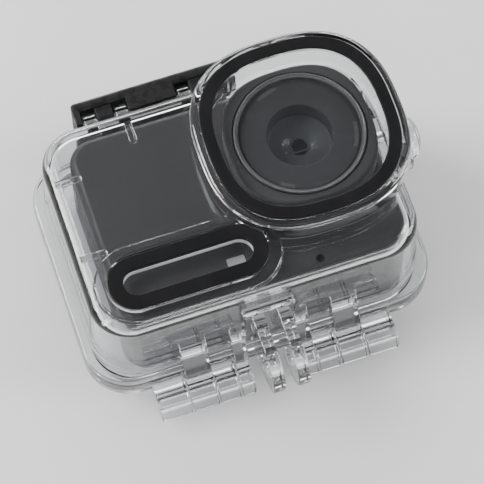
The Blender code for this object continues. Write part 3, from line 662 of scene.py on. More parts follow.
class Growth(TreeWriter):
    """A Geometry Nodes tree with named sizes that grows one repeated shape."""

    def __init__(self, name: str) -> None:
        """Starts an empty tree with its result socket.

        Args:
            name: Name of the tree and of the piece that it grows.
        """
        self.name = name
        self.tree = bpy.data.node_groups.new(name, "GeometryNodeTree")
        self.tree.interface.new_socket("Geometry", in_out="OUTPUT", socket_type="NodeSocketGeometry")
        self.entry = self.tree.nodes.new("NodeGroupInput")
        self.exit = self.tree.nodes.new("NodeGroupOutput")
        self.sizes: dict[str, tuple[str, float]] = {}

    def size(self, name: str, value: float, whole: bool = False) -> Signal:
        """Adds a named input.

        Args:
            name: Name shown on the modifier.
            value: Value given to it.
            whole: True for a count.

        Returns:
            The input as a signal.
        """
        kind = "NodeSocketInt" if whole else "NodeSocketFloat"
        socket = self.tree.interface.new_socket(name, in_out="INPUT", socket_type=kind)
        self.sizes[socket.identifier] = (name, int(value) if whole else float(value))
        return Signal(self, self.entry.outputs[name])

    def vector(self, x: Signal | float = 0.0, y: Signal | float = 0.0, z: Signal | float = 0.0) -> Signal:
        """Vector from three numbers."""
        return self.add("ShaderNodeCombineXYZ", inputs={0: x, 1: y, 2: z})

    def number(self) -> Signal:
        """Index of each point."""
        return self.add("GeometryNodeInputIndex")

    def grow(self, geometry: Signal, material: bpy.types.Material, place: Matrix) -> bpy.types.Object:
        """Turns the tree into a plain mesh.

        Args:
            geometry: Last geometry of the tree, instances allowed.
            material: Finish of the result.
            place: Transform in metres from the tree's own frame to the case's.

        Returns:
            Object at the origin with the shape in its mesh.
        """
        real = self.add("GeometryNodeRealizeInstances", inputs={"Geometry": geometry})
        dressed = self.add("GeometryNodeSetMaterial", inputs={"Geometry": real, "Material": material})
        self.tree.links.new(dressed.socket, self.exit.inputs["Geometry"])
        seed = bpy.data.objects.new(self.name, bpy.data.meshes.new(self.name))
        bpy.context.scene.collection.objects.link(seed)
        modifier = seed.modifiers.new(self.name, "NODES")
        modifier.node_group = self.tree
        for identifier, (_, value) in self.sizes.items():
            modifier[identifier] = value
        settle(seed)
        seed.data.transform(place)
        return seed


# ---------------------------------------------------------------- finishes


@dataclass(frozen=True)
class ClearMoulding:
    """Polished clear plastic or glass: it bends light, and lets the lamps reach what is inside."""

    name: str
    tint: Colour = (0.972, 0.982, 0.990)
    index: float = 1.56
    haze: float = 0.012
    ripple: float = 0.000004
    pass_light: float = 0.90

    def make(self) -> bpy.types.Material:
        """Builds the material.

        Returns:
            The material.
        """
        paint = Paint(self.name)
        flow = paint.noise(95.0, 2.0)
        dust = paint.noise(2600.0, 2.0) ** 6.0
        along = paint.stretched((60.0, 2600.0, 700.0), (0.3, 0.1, 0.6))
        scratch = paint.add("ShaderNodeTexNoise", inputs={"Vector": along, "Scale": 1.0})
        marks = (scratch > 0.74) * 0.10
        glass = paint.surface({
            "Base Color": paint.blend(flow * 0.5, self.tint, tuple(c * 0.985 for c in self.tint)),
            "Roughness": self.haze + flow * 0.012 + dust * 0.5 + marks * 0.4,
            "IOR": self.index,
            "Transmission Weight": 1.0,
            "Normal": paint.bump(flow + marks, self.ripple),
        })
        passing = paint.add("ShaderNodeBsdfTransparent", inputs={
            "Color": (self.pass_light, self.pass_light, min(1.0, self.pass_light + 0.01), 1.0)})
        shadow = paint.add("ShaderNodeLightPath", output="Is Shadow Ray")
        return paint.done(paint.add("ShaderNodeMixShader", inputs={0: shadow, 1: glass, 2: passing}))


@dataclass(frozen=True)
class MouldedPlastic:
    """Opaque moulded plastic with a fine spark-eroded grain and rubbed edges."""

    name: str
    colour: Colour
    roughness: float = 0.5
    grain: float = 0.000006
    grain_scale: float = 2600.0
    rub: float = 0.35
    shine: float = 0.5

    def make(self) -> bpy.types.Material:
        """Builds the material.

        Returns:
            The material.
        """
        paint = Paint(self.name)
        cloud = paint.noise(70.0, 4.0)
        fine = paint.noise(self.grain_scale, 3.0, 0.6)
        rubbed = paint.worn() * (paint.noise(420.0, 3.0) > 0.47)
        base = paint.blend(cloud, tuple(c * 0.96 for c in self.colour),
                           tuple(min(1.0, c * 1.05) for c in self.colour))
        lighter = tuple(min(1.0, c * 1.9 + 0.02) for c in self.colour)
        return paint.done(paint.surface({
            "Base Color": paint.blend(rubbed * self.rub, base, lighter),
            "Roughness": self.roughness - 0.05 + cloud * 0.05 + fine * 0.06 - rubbed * 0.12,
            "Specular IOR Level": self.shine,
            "Normal": paint.bump(fine, self.grain),
        }))


@dataclass(frozen=True)
class PolishedBlack:
    """Deep glossy black, for bezels and screens, with dust and faint smears."""

    name: str
    colour: Colour = (0.008, 0.008, 0.009)
    roughness: float = 0.10
    shine: float = 0.5

    def make(self) -> bpy.types.Material:
        """Builds the material.

        Returns:
            The material.
        """
        paint = Paint(self.name)
        smear = paint.add("ShaderNodeTexNoise", inputs={"Vector": paint.stretched((220.0, 60.0, 120.0)),
                                                        "Scale": 1.0, "Detail": 4.0})
        dust = paint.noise(3200.0, 1.0) ** 9.0
        return paint.done(paint.surface({
            "Base Color": paint.blend(dust * 0.5 + smear * 0.1, self.colour, (0.05, 0.05, 0.052)),
            "Roughness": self.roughness + smear * 0.08 + dust * 0.5 + paint.worn() * 0.06,
            "Specular IOR Level": self.shine,
            "Normal": paint.bump(smear + dust, 0.000002),
        }))


@dataclass(frozen=True)
class CoatedLens:
    """Dark coated optical glass with a violet and green sheen that turns with the angle."""

    name: str
    colour: Colour = (0.010, 0.011, 0.013)
    clear: float = 0.0

    def make(self) -> bpy.types.Material:
        """Builds the material.

        Returns:
            The material.
        """
        paint = Paint(self.name)
        smear = paint.noise(150.0, 3.0)
        dust = paint.noise(3600.0, 1.0) ** 8.0
        edge = paint.add("ShaderNodeLayerWeight", inputs={"Blend": 0.45}, output="Facing")
        tint = paint.add("ShaderNodeValToRGB",
                         {"stops": [(0.0, (0.016, 0.018, 0.020)), (0.45, (0.018, 0.014, 0.028)),
                                    (0.8, (0.010, 0.026, 0.020))]}, {0: edge})
        solid = paint.surface({
            "Base Color": paint.blend(smear * 0.4, tint, self.colour),
            "Roughness": 0.04 + smear * 0.03 + dust * 0.4,
            "Coat Weight": 0.6,
            "IOR": 1.7,
            "Normal": paint.bump(smear, 0.000002),
        })
        if not self.clear:
            return paint.done(solid)
        passing = paint.add("ShaderNodeBsdfTransparent", inputs={"Color": (0.97, 0.98, 0.98, 1.0)})
        return paint.done(paint.add("ShaderNodeMixShader", inputs={0: self.clear - smear * 0.03, 1: solid,
                                                                   2: passing}))


@dataclass(frozen=True)
class Metal:
    """Turned or milled metal with brushed marks along one axis."""

    name: str
    colour: Colour
    roughness: float = 0.25
    marks: tuple[float, float, float] = (3000.0, 200.0, 200.0)

    def make(self) -> bpy.types.Material:
        """Builds the material.

        Returns:
            The material.
        """
        paint = Paint(self.name)
        brushed = paint.add("ShaderNodeTexNoise", inputs={"Vector": paint.stretched(self.marks), "Scale": 1.0,
                                                          "Detail": 3.0})
        stain = paint.noise(240.0, 4.0)
        return paint.done(paint.surface({
            "Base Color": paint.blend(stain * 0.4, self.colour, tuple(c * 0.72 for c in self.colour)),
            "Metallic": 1.0,
            "Roughness": self.roughness + brushed * 0.14 - paint.worn() * 0.08,
            "Normal": paint.bump(brushed, 0.000006),
        }))


@dataclass(frozen=True)
class Silicone:
    """Translucent grey sealing rubber with a bloom of dust."""

    name: str
    colour: Colour = (0.60, 0.61, 0.62)
    roughness: float = 0.52

    def make(self) -> bpy.types.Material:
        """Builds the material.

        Returns:
            The material.
        """
        paint = Paint(self.name)
        bloom = paint.noise(520.0, 4.0)
        pores = paint.noise(4200.0, 2.0)
        return paint.done(paint.surface({
            "Base Color": paint.blend(bloom, tuple(c * 0.88 for c in self.colour), self.colour),
            "Roughness": self.roughness + bloom * 0.12,
            "Subsurface Weight": 0.15,
            "Subsurface Radius": (0.001, 0.001, 0.001),
            "Normal": paint.bump(pores, 0.00001),
        }))


@dataclass(frozen=True)
class CircuitBoard:
    """Lacquered board with copper tracks, vias and small dark packages."""

    name: str
    lacquer: Colour = (0.012, 0.070, 0.038)
    copper: Colour = (0.42, 0.27, 0.10)

    def make(self) -> bpy.types.Material:
        """Builds the material.

        Returns:
            The material.
        """
        paint = Paint(self.name)
        cells = paint.add("ShaderNodeTexVoronoi", {"feature": "DISTANCE_TO_EDGE"},
                          {"Vector": paint.where(), "Scale": 320.0, "Randomness": 0.75})
        tracks = cells < 0.06
        vias = paint.add("ShaderNodeTexVoronoi", {"feature": "F1"},
                         {"Vector": paint.where(), "Scale": 520.0, "Randomness": 0.9}) < 0.16
        packages = paint.add("ShaderNodeTexVoronoi", {"feature": "F1", "distance": "CHEBYCHEV"},
                             {"Vector": paint.where(), "Scale": 170.0, "Randomness": 0.55}) < 0.26
        board = paint.blend(tracks * 0.45, self.lacquer, (0.030, 0.120, 0.060))
        board = paint.blend(vias, board, self.copper)
        return paint.done(paint.surface({
            "Base Color": paint.blend(packages, board, (0.02, 0.02, 0.022)),
            "Roughness": 0.36 + packages * 0.2 - vias * 0.1,
            "Metallic": vias * (1.0 - packages),
            "Normal": paint.bump(packages * 1.0 + tracks * 0.2, 0.00012),
        }))


class Finishes:
    """Every material of the object, made once."""

    def __init__(self) -> None:
        """Builds the materials."""
        kinds = [
            ClearMoulding("clear_polycarbonate"),
            ClearMoulding("clear_glass", (0.985, 0.990, 0.992), 1.50, 0.004, 0.000001, 0.94),
            PolishedBlack("black_bezel", (0.0035, 0.0035, 0.004), 0.36, 0.10),
            MouldedPlastic("black_latch", (0.0045, 0.0045, 0.005), 0.50, 0.000004, 5000.0, 0.4, 0.16),
            Silicone("seal_silicone"),
            MouldedPlastic("black_rubber", (0.015, 0.015, 0.015), 0.72, 0.00001, 4000.0, 0.1, 0.3),
            MouldedPlastic("camera_grey", (0.027, 0.0272, 0.0278), 0.56, 0.000003, 5200.0, 0.04, 0.12),
            MouldedPlastic("camera_dark", (0.014, 0.014, 0.015), 0.46, 0.000003, 5200.0, 0.25, 0.3),
            PolishedBlack("screen_glass"),
            PolishedBlack("display_glass", (0.022, 0.022, 0.0225), 0.22, 0.3),
            PolishedBlack("display_grey", (0.20, 0.20, 0.21), 0.22),
            MouldedPlastic("lit_tile", (0.26, 0.26, 0.265), 0.5, 0.000002, 4000.0, 0.0, 0.3),
            # Painted highlight: off-white finish for the lining that stands in for light caught in the
            # display window's edge.
            MouldedPlastic("painted_highlight_white", (0.92, 0.93, 0.94), 0.40, 0.000002, 4000.0, 0.0, 0.5),
            MouldedPlastic("ring_grey", (0.050, 0.050, 0.051), 0.42, 0.000003, 4000.0, 0.2, 0.35),
            MouldedPlastic("tick_grey", (0.15, 0.15, 0.15), 0.5, 0.000002, 4000.0, 0.0, 0.3),
            MouldedPlastic("lens_black", (0.036, 0.036, 0.037), 0.55, 0.000002, 4200.0, 0.0, 0.25),
            CoatedLens("lens_glass"),
            CoatedLens("cover_glass", clear=0.86),
            Metal("stainless_steel", (0.62, 0.61, 0.60)),
            Metal("aluminium", (0.72, 0.73, 0.74), 0.34),
            CircuitBoard("board_green"),
            MouldedPlastic("battery_grey", (0.16, 0.17, 0.19), 0.40),
            MouldedPlastic("button_grey", (0.09, 0.09, 0.095), 0.38),
        ]
        self.made = {kind.name: kind.make() for kind in kinds}

    def dress(self, piece: bpy.types.Object, finish: str) -> bpy.types.Object:
        """Gives a piece one finish in all its slots.

        Args:
            piece: Piece to paint.
            finish: Name of its finish.

        Returns:
            The piece.
        """
        piece.data.materials.clear()
        piece.data.materials.append(self.made[finish])
        return piece


# ---------------------------------------------------------------- fitting


class Body(Enum):
    """Moving bodies of the frame."""

    DOOR = "rear_door"
    CASE = "front_case"
    LATCH = "latch"
    SIDE = "side_button"
    SHUTTER = "shutter_button"
    POWER_KEY = "camera_power_button"
    SHUTTER_KEY = "camera_shutter_button"


class Bench:
    """Finishes pieces and hands them to the frame."""

    def __init__(self, finishes: Finishes) -> None:
        """Keeps the finishes and a list of what was fitted."""
        self.finishes = finishes
        self.fitted: list[str] = []

    def fit(self, piece: bpy.types.Object, finish: str, body: Body, *stands_for: str, slot: str = "",
            angle: float = 32.0) -> bpy.types.Object:
        """Shades, dresses and hands over one piece.

        Args:
            piece: Finished shape.
            finish: Name of its finish.
            body: Body that it rides on.
            stands_for: Frame nodes that it replaces.
            slot: Material slot of the record; not used.
            angle: Edges sharper than this stay sharp.

        Returns:
            The piece.
        """
        mark_wear(piece)
        smooth(piece, angle)
        self.finishes.dress(piece, finish)
        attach(piece, body.value)
        if stands_for:
            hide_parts(*stands_for)
        slot or finish
        self.fitted.append(piece.name)
        log.info("%s: %d faces on %s", piece.name, len(piece.data.polygons), body.value)
        return piece


# ---------------------------------------------------------------- the case


@dataclass
class FrontShell:
    """Clear front moulding: drafted box, lens port, window pad, prongs, lugs, knuckles and button cups."""

    bench: Bench
    front: tuple[float, float, float] = (81.0, 56.0, 10.0)
    widen: float = 1.2
    flange: tuple[float, float, float] = CASE_FLANGE
    flange_z: Point = (8.9, 12.0)
    top: float = 34.9
    fillet: float = 2.4
    wall: float = 2.0
    port: Point = LENS_CENTRE
    port_side: float = 50.4
    port_top: float = 41.8
    window: Point = WINDOW_CENTRE
    pad: Point = (45.6, 19.6)
    pad_top: float = 36.4
    hinge: Point = HINGE_CENTRE
    knuckles: tuple[Point, ...] = ((15.7, 22.3), (6.4, 9.8))
    latch_pin: Point = LATCH_CENTRE
    latch_x: Point = LATCH_SPAN
    seats: tuple[ButtonSeat, ...] = (SIDE_SEAT, SHUTTER_SEAT)

    def _box(self, inset: float, grow: float = 0.0) -> Outline:
        """Outline of the box, inset from the front outline and grown evenly."""
        width, height, radius = self.front
        return rounded_rect(width - 2 * inset + 2 * grow, height - 2 * inset + 2 * grow, radius - inset)

    def _body(self) -> bpy.types.Object:
        """Drafted outer box.

        Returns:
            The solid box.
        """
        sections = [(self._box(-self.widen), self.flange_z[0] + 0.5)]
        sections += quarter_round(self._box, self.top, self.fillet, 8)
        return Solid("front_shell_fine").loft(sections).mesh()

    def _additions(self) -> list[bpy.types.Object]:
        """Flange, port, pad, prongs, knuckles, lugs and cups that are joined to the box.

        Returns:
            The solids, each on its own.
        """
        width, height, radius = self.flange
        low, high = self.flange_z

        def rim(inset: float) -> Outline:
            """Flange outline at an inset."""
            return rounded_rect(width - 2 * inset, height - 2 * inset, radius - inset)

        def port(inset: float) -> Outline:
            """Port outline at an inset."""
            return squircle(self.port_side - 2 * inset, self.port, 2.6, 200)

        def pad(inset: float) -> Outline:
            """Pad outline at an inset."""
            return stadium(self.pad[0] - 2 * inset, self.pad[1] - 2 * inset, self.window, 28)

        flange = Solid("flange").loft(
            [(rim(0.45), low), (rim(0.13), low + 0.13), (rim(0.0), low + 0.45)]
            + quarter_round(rim, high, 0.9, 6))
        tube = Solid("port_tube").loft(
            [(squircle(36.4, (14.8, 2.5), 2.6, 200), 22.0), (port(0.8), 31.0), (port(0.35), 34.5),
             (port(0.1), 37.6)] + quarter_round(port, self.port_top, 1.3, 8))
        raised = Solid("window_pad").loft(
            [(pad(-0.5), self.top - 1.5), (pad(-0.5), self.top - 0.1)] + flare(pad, self.top - 0.1, 0.45)
            + quarter_round(pad, self.pad_top, 0.6, 5))
        return [flange.mesh(), tube.mesh(), raised.mesh(), *self._prongs(), self._arms(), self._lugs(),
                self._cups()]

    def _prongs(self) -> list[bpy.types.Object]:
        """Two round-ended prongs and the foot that joins them.

        Returns:
            The prongs and their foot.
        """
        outline = [(-27.8, 28.9), (-27.8, 13.9)] + arc(PRONG_CENTRE, 7.5, -90.0, -270.0, 32)
        prongs = Solid("prongs").slab_x(outline, [(-4.6, -1.6), (1.6, 4.6)], 0.35)
        foot = Solid("prong_foot").box((-6.6, -30.2, 13.0), (6.6, -27.5, 29.8), 1.0)
        return [prongs.mesh(), foot.mesh()]

    def _arms(self) -> bpy.types.Object:
        """Knuckles that hang from gussets on the lower wall.

        Returns:
            All the knuckles in one piece.
        """
        low = self.flange_z[0] + 0.2
        outline = [(-28.4, low), (-28.4, 22.0)] + arc(self.hinge, 4.0, 75.0, 385.0, 40) + [(-32.2, low)]
        spans = [span for a, b in self.knuckles for span in ((a, b), (-b, -a))]
        return Solid("shell_arms").slab_x(outline, spans, 0.25).mesh()

    def _lugs(self) -> bpy.types.Object:
        """Four lugs on the upper wall that carry the latch pin.

        Returns:
            All the lugs in one piece.
        """
        y, z = self.latch_pin
        first, last = self.latch_x
        outline = [(27.0, z - 3.0)] + arc(self.latch_pin, 2.4, -90.0, 90.0, 20) + [(27.0, z + 2.4)]
        spans = [(first + 2, first + 5), (first + 10, first + 13), (last - 13, last - 10),
                 (last - 5, last - 2)]
        return Solid("latch_lugs").slab_x(outline, spans, 0.25).mesh()

    def _cups(self) -> bpy.types.Object:
        """Round cups that hold the two push buttons, each with a rounded mouth.

        Returns:
            Both cups in one piece.
        """
        solid = Solid("button_cups")
        outer, soft = 8.0, 0.6
        for seat in self.seats:
            rim = [(outer - soft * (1 - math.cos(math.radians(a))),
                    seat.mouth - soft + soft * math.sin(math.radians(a)))
                   for a in (0, 30, 60, 90)]
            solid.turn([(0.0, seat.cup_foot), (outer, seat.cup_foot), *rim, (0.0, seat.mouth)],
                       seat.axis, seat.centre, 96)
        return solid.mesh()

    def _room(self) -> list[bpy.types.Object]:
        """Everything that is cut away.

        Returns:
            The cutting solids.
        """
        low = self.flange_z[0]

        def inner(inset: float) -> Outline:
            """Outline of the room at an inset."""
            return self._box(self.wall + inset)

        cavity = Solid("cavity").loft(
            [(self._box(self.wall - self.widen), low - 2.0)]
            + quarter_round(inner, self.top - self.wall - 0.2, 1.5, 6)).mesh()
        bore = Solid("port_bore").loft([(squircle(41.6, self.port, 2.6, 200), 29.9),
                                        (squircle(40.6, self.port, 2.6, 200), 43.8)]).mesh()
        ledge = Solid("port_seat").loft([(squircle(46.7, self.port, 2.6, 200), 39.4),
                                         (squircle(46.7, self.port, 2.6, 200), 44.3)]).mesh()
        hole = Solid("window_hole").loft([(stadium(32.2, 7.2, self.window, 28), 29.9),
                                          (stadium(32.2, 7.2, self.window, 28), 38.4)]).mesh()
        pane = Solid("window_seat").loft([(stadium(39.9, 14.2, self.window, 28), 34.4),
                                          (stadium(39.9, 14.2, self.window, 28), 38.6)]).mesh()
        holes = Solid("holes").rod(HINGE_BORE, -40, 40, Axis.X, self.hinge)
        holes.rod(MOUNT_SCREW_BORE, -10, 10, Axis.X, PRONG_CENTRE)
        holes.rod(LATCH_BORE, self.latch_x[0] - 2, self.latch_x[1] + 2, Axis.X, self.latch_pin)
        pockets = Solid("pockets")
        for seat in self.seats:
            floor, top, deep = seat.floor, seat.floor + 6.6, seat.floor - 7.4
            pockets.turn([(0.0, top), (6.9, top), (6.9, floor), (2.7, floor), (2.7, floor - 0.9),
                          (1.6, floor - 0.9), (1.6, deep), (0.0, deep)], seat.axis, seat.centre, 72)
        return [cavity, bore, ledge, hole, pane, holes.mesh(), pockets.mesh()]

    def _ribs(self) -> list[bpy.types.Object]:
        """Round-ended locating ribs under the front face.

        Returns:
            The ribs, each on its own.
        """
        ribs = []
        for name, centre in (("upper", (-35.6, 15.0)), ("lower", (-35.6, -5.4)), ("top", (-17.2, 23.3))):
            sections = []
            for inset, height in ((0.5, 31.6), (0.15, 31.8), (0.0, 32.2), (0.0, 33.2)):
                outline = stadium(7.2 - 2 * inset, 1.8 - 2 * inset, (0.0, 0.0), 8)
                if name == "top":
                    outline = [(-y, x) for x, y in outline]
                sections.append(([(x + centre[0], y + centre[1]) for x, y in outline], height))
            ribs.append(Solid("rib_" + name).loft(sections).mesh())
        return ribs

    def build(self) -> bpy.types.Object:
        """Joins and cuts the moulding.

        Returns:
            The finished shell.
        """
        shell = combine(self._body(), "UNION", self._additions())
        combine(shell, "DIFFERENCE", self._room())
        combine(shell, "UNION", self._ribs())
        return self.bench.fit(clean(shell), "clear_polycarbonate", Body.CASE, "front_shell", angle=38.0)


@dataclass
class RearDoor:
    """Clear back door with its seal groove, knuckles and the grey seal."""

    bench: Bench
    skirt: tuple[float, float, float] = (83.4, 58.4, 11.0)
    flange: tuple[float, float, float] = CASE_FLANGE
    flange_z: Point = (5.4, 8.6)
    plate: float = 2.2
    hinge: Point = HINGE_CENTRE
    knuckles: tuple[Point, ...] = ((22.6, 30.3), (10.1, 15.4))

    def build(self) -> bpy.types.Object:
        """Builds the door, then its seal.

        Returns:
            The door.
        """
        low, high = self.flange_z

        def wall(inset: float) -> Outline:
            """Outline of the back panel at an inset."""
            width, height, radius = self.skirt
            return rounded_rect(width - 2 * inset, height - 2 * inset, radius - inset)

        def rim(inset: float) -> Outline:
            """Outline of the flange at an inset."""
            width, height, radius = self.flange
            return rounded_rect(width - 2 * inset, height - 2 * inset, radius - inset)

        sections = [(wall(2.5), 0.0), (wall(2.1), 0.12), (wall(1.5), 0.5), (wall(1.2), 1.1),
                    (wall(0.5), low + 0.05), (rim(0.4), low + 0.1), (rim(0.12), low + 0.25),
                    (rim(0.0), low + 0.6)]
        door = Solid("rear_door_fine").loft(sections + quarter_round(rim, high, 0.45, 5)).mesh()

        def step(inset: float) -> Outline:
            """Outline of the locating lip at an inset."""
            return rounded_rect(78.8 - 2 * inset, 53.8 - 2 * inset, 8.7 - inset)

        lip = Solid("door_lip").loft(
            [(step(0.0), high - 0.5)] + quarter_round(step, high + 0.9, 0.25, 3)).mesh()
        outline = [(-30.5, low + 0.3), (-30.5, high - 0.6)] + arc(self.hinge, 4.0, 62.0, 298.0, 36)
        spans = [span for a, b in self.knuckles for span in ((a, b), (-b, -a))]
        arms = Solid("door_arms").slab_x(outline, spans, 0.25).mesh()
        catch = Solid("door_catch").box((-22.0, 29.0, low - 1.4), (4.0, 31.2, low + 0.6), 0.4).mesh()
        combine(door, "UNION", [lip, arms, catch])
        tray = Solid("door_tray").loft([(rounded_rect(75.6, 49.8, 6.8), self.plate),
                                        (rounded_rect(76.4, 50.6, 7.2), self.plate + 0.3),
                                        (rounded_rect(76.66, 50.93, 7.35), self.plate + 0.75),
                                        (rounded_rect(77.4, 52.6, 8.0), high + 3.0)]).mesh()
        groove = Solid("door_groove").tube([(rounded_rect(82.2, 57.2, 10.4), high - 1.0),
                                            (rounded_rect(82.2, 57.2, 10.4), high + 1.0),
                                            (rounded_rect(79.2, 54.2, 8.9), high + 1.0),
                                            (rounded_rect(79.2, 54.2, 8.9), high - 1.0)]).mesh()
        bore = Solid("door_bore").rod(HINGE_BORE, -40, 40, Axis.X, self.hinge).mesh()
        combine(door, "DIFFERENCE", [tray, groove, bore])
        self._seal(high)
        return self.bench.fit(clean(door), "clear_polycarbonate", Body.DOOR, "rear_door", angle=38.0)

    def _seal(self, high: float) -> None:
        """Rounded sealing ring that stands a little proud of its groove.

        Args:
            high: Height of the door's flange.
        """
        sections = []
        for step in range(12):
            angle = math.tau * step / 12
            inset = 0.45 - 0.45 * math.cos(angle)
            outline = rounded_rect(81.6 - 2 * inset, 56.6 - 2 * inset, 10.1 - inset)
            sections.append((outline, high - 0.275 + 0.425 * math.sin(angle)))
        self.bench.fit(Solid("door_seal_fine").tube(sections).mesh(), "seal_silicone", Body.DOOR, "door_seal")


@dataclass
class PanesAndBezels:
    """Lens port glass, display window and the black rings round them."""

    bench: Bench
    port: Point = LENS_CENTRE
    window: Point = WINDOW_CENTRE

    def build(self) -> None:
        """Builds both panes and both rings."""
        def port(side: float) -> Callable[[float], Outline]:
            """Port outline by inset."""
            return lambda inset: squircle(side - 2 * inset, self.port, 2.6, 200)

        def window(width: float, height: float) -> Callable[[float], Outline]:
            """Window outline by inset."""
            return lambda inset: stadium(width - 2 * inset, height - 2 * inset, self.window, 28)

        panes = (("port_glass", port(46.1), 39.7, 41.7), ("window_glass", window(39.1, 13.4), 34.7, 35.9))
        for name, make, low, high in panes:
            sections = [(make(0.15), low), (make(0.0), low + 0.15)] + quarter_round(make, high, 0.15, 2)
            self.bench.fit(Solid(name + "_fine").loft(sections).mesh(), "clear_glass", Body.CASE, name)
        rings = (("port_bezel", port(46.0), port(40.0), 42.0, 42.7),
                 ("window_bezel", window(39.1, 13.4), window(31.6, 6.6), 36.2, 36.9))
        for name, outer, inner, low, high in rings:
            sections = [(outer(0.0), low)] + quarter_round(outer, high, 0.25, 4)
            mouth = quarter_round(lambda inset: inner(-inset), high, 0.25, 4)
            sections += [(outline, z) for outline, z in reversed(mouth)]
            sections.append((inner(0.0), low))
            self.bench.fit(Solid(name + "_fine").tube(sections).mesh(), "black_bezel", Body.CASE, name)
        self._highlight_lining()

    def _highlight_lining(self) -> None:
        """Off-white lining of the display window's opening under its glass; a painted highlight for the line
        of light along its edge.
        """
        def ring(inset: float) -> Outline:
            """Opening outline at an inset."""
            return stadium(32.15 - 2 * inset, 7.15 - 2 * inset, self.window, 28)

        wall = Solid("window_reveal").tube(
            [(ring(0.0), 32.9), (ring(0.0), 34.3), (ring(0.12), 34.3), (ring(0.12), 32.9)])
        # Painted highlight: this off-white lining stands in for light caught in the opening's edge.
        self.bench.fit(wall.mesh(), "painted_highlight_white", Body.CASE, slot="clear_polycarbonate")


@dataclass
class Latch:
    """Black lever with grip ribs, its ears, the hook bar and the steel pin."""

    bench: Bench
    span: Point = LATCH_SPAN
    plate_y: Point = (34.5, 37.4)
    plate_z: Point = (5.0, 28.4)
    pin: Point = LATCH_CENTRE
    ribs: int = 9

    def _grip(self) -> bpy.types.Object:
        """Raised grip ribs across the lever's back, set out by a node tree.

        Returns:
            The ribs in one piece.
        """
        first, last = self.span
        tree = Growth("latch_grip")
        length = tree.size("Rib length", (last - first - 10.0) * MM)
        width = tree.size("Rib width", 0.7 * MM)
        rise = tree.size("Rib rise", 0.5 * MM)
        pitch = tree.size("Rib pitch", 1.5 * MM)
        count = tree.size("Rib count", self.ribs, True)
        line = tree.add("GeometryNodeMeshLine",
                        inputs={"Count": count, "Offset": tree.vector(0.0, 0.0, pitch)})
        bar = tree.add("GeometryNodeMeshCylinder", {}, {"Vertices": 12, "Radius": 0.5, "Depth": 1.0})
        laid = tree.add("GeometryNodeTransform",
                        inputs={"Geometry": bar, "Rotation": (0.0, math.pi / 2, 0.0)})
        sized = tree.add("GeometryNodeTransform",
                         inputs={"Geometry": laid, "Scale": tree.vector(length, rise, width)})
        rows = tree.add("GeometryNodeInstanceOnPoints", inputs={"Points": line, "Instance": sized})
        place = Matrix.Translation(Vector(((first + last) / 2, self.plate_y[1] - 0.15, 7.4)) * MM)
        return tree.grow(rows, self.bench.finishes.made["black_latch"], place)

    def build(self) -> None:
        """Builds the lever, its grip, the hook and the pin."""
        first, last = self.span
        y, z = self.pin
        low, high = self.plate_z
        lever = Solid("latch_lever_fine").box((first, self.plate_y[0], low),
                                              (last, self.plate_y[1] - 0.3, high), 0.8)
        outline = [(self.plate_y[0] + 0.8, z + 2.0)] + arc(self.pin, 2.2, 90.0, 270.0, 24)
        outline.append((self.plate_y[0] + 0.8, z - 3.0))
        ears = Solid("ears").slab_x(outline, [(first + 5.4, first + 9.6), (last - 9.6, last - 5.4)],
                                    0.25).mesh()
        hood = Solid("hood").box((first + 13.4, y - 0.6, high - 0.9),
                                 (last - 13.4, self.plate_y[0] + 0.9, high), 0.2)
        hood.box((first, y - 0.8, z - 3.6), (first + 1.6, self.plate_y[0] + 0.9, high), 0.3)
        hood.box((last - 1.6, y - 0.8, z - 3.6), (last, self.plate_y[0] + 0.9, high), 0.3)
        bore = Solid("bore").rod(LATCH_BORE, first - 2, last + 2, Axis.X, self.pin).mesh()
        thumb = Solid("thumb").rod(30.0, first + 4.0, last - 4.0, Axis.X, (self.plate_y[1] + 28.9, 21.5),
                                   160).mesh()
        body = combine(combine(lever.mesh(), "UNION", [ears, hood.mesh()]), "DIFFERENCE", [bore, thumb])
        self.bench.fit(clean(body), "black_latch", Body.LATCH, "latch_lever", angle=34.0)
        self.bench.fit(self._grip(), "black_latch", Body.LATCH)
        hook = [(34.2, 12.6), (34.2, 3.4), (33.6, 2.8), (32.2, 2.8), (31.85, 3.4), (31.85, 5.0), (32.6, 6.4),
                (32.6, 12.6)]
        bar = Solid("latch_hook_fine").slab_x(hook, [(first + 4.0, last - 4.0)], 0.2).mesh()
        self.bench.fit(bar, "black_latch", Body.LATCH, "latch_hook")
        pin = Solid("latch_pin_fine").turn(
            [(0.0, first + 1.0), (0.8, first + 1.0), (1.0, first + 1.3), (1.0, last - 1.3),
             (0.8, last - 1.0), (0.0, last - 1.0)], Axis.X, self.pin, 32)
        self.bench.fit(pin.mesh(), "stainless_steel", Body.CASE, "latch_pin")


@dataclass
class HingePins:
    """Two clear pins that join the door and the shell."""

    bench: Bench
    centre: Point = HINGE_CENTRE
    reach: Point = (6.8, 29.8)

    def build(self) -> None:
        """Builds both pins with chamfered ends."""
        low, high = self.reach
        for side, sign in (("left", -1), ("right", 1)):
            a, b = sorted((sign * low, sign * high))
            pin = Solid(f"hinge_pin_{side}_fine").turn(
                [(0.0, a), (0.95, a), (1.25, a + 0.35), (1.25, b - 0.35), (0.95, b), (0.0, b)],
                Axis.X, self.centre, 40)
            self.bench.fit(pin.mesh(), "clear_polycarbonate", Body.DOOR, f"hinge_pin_{side}")


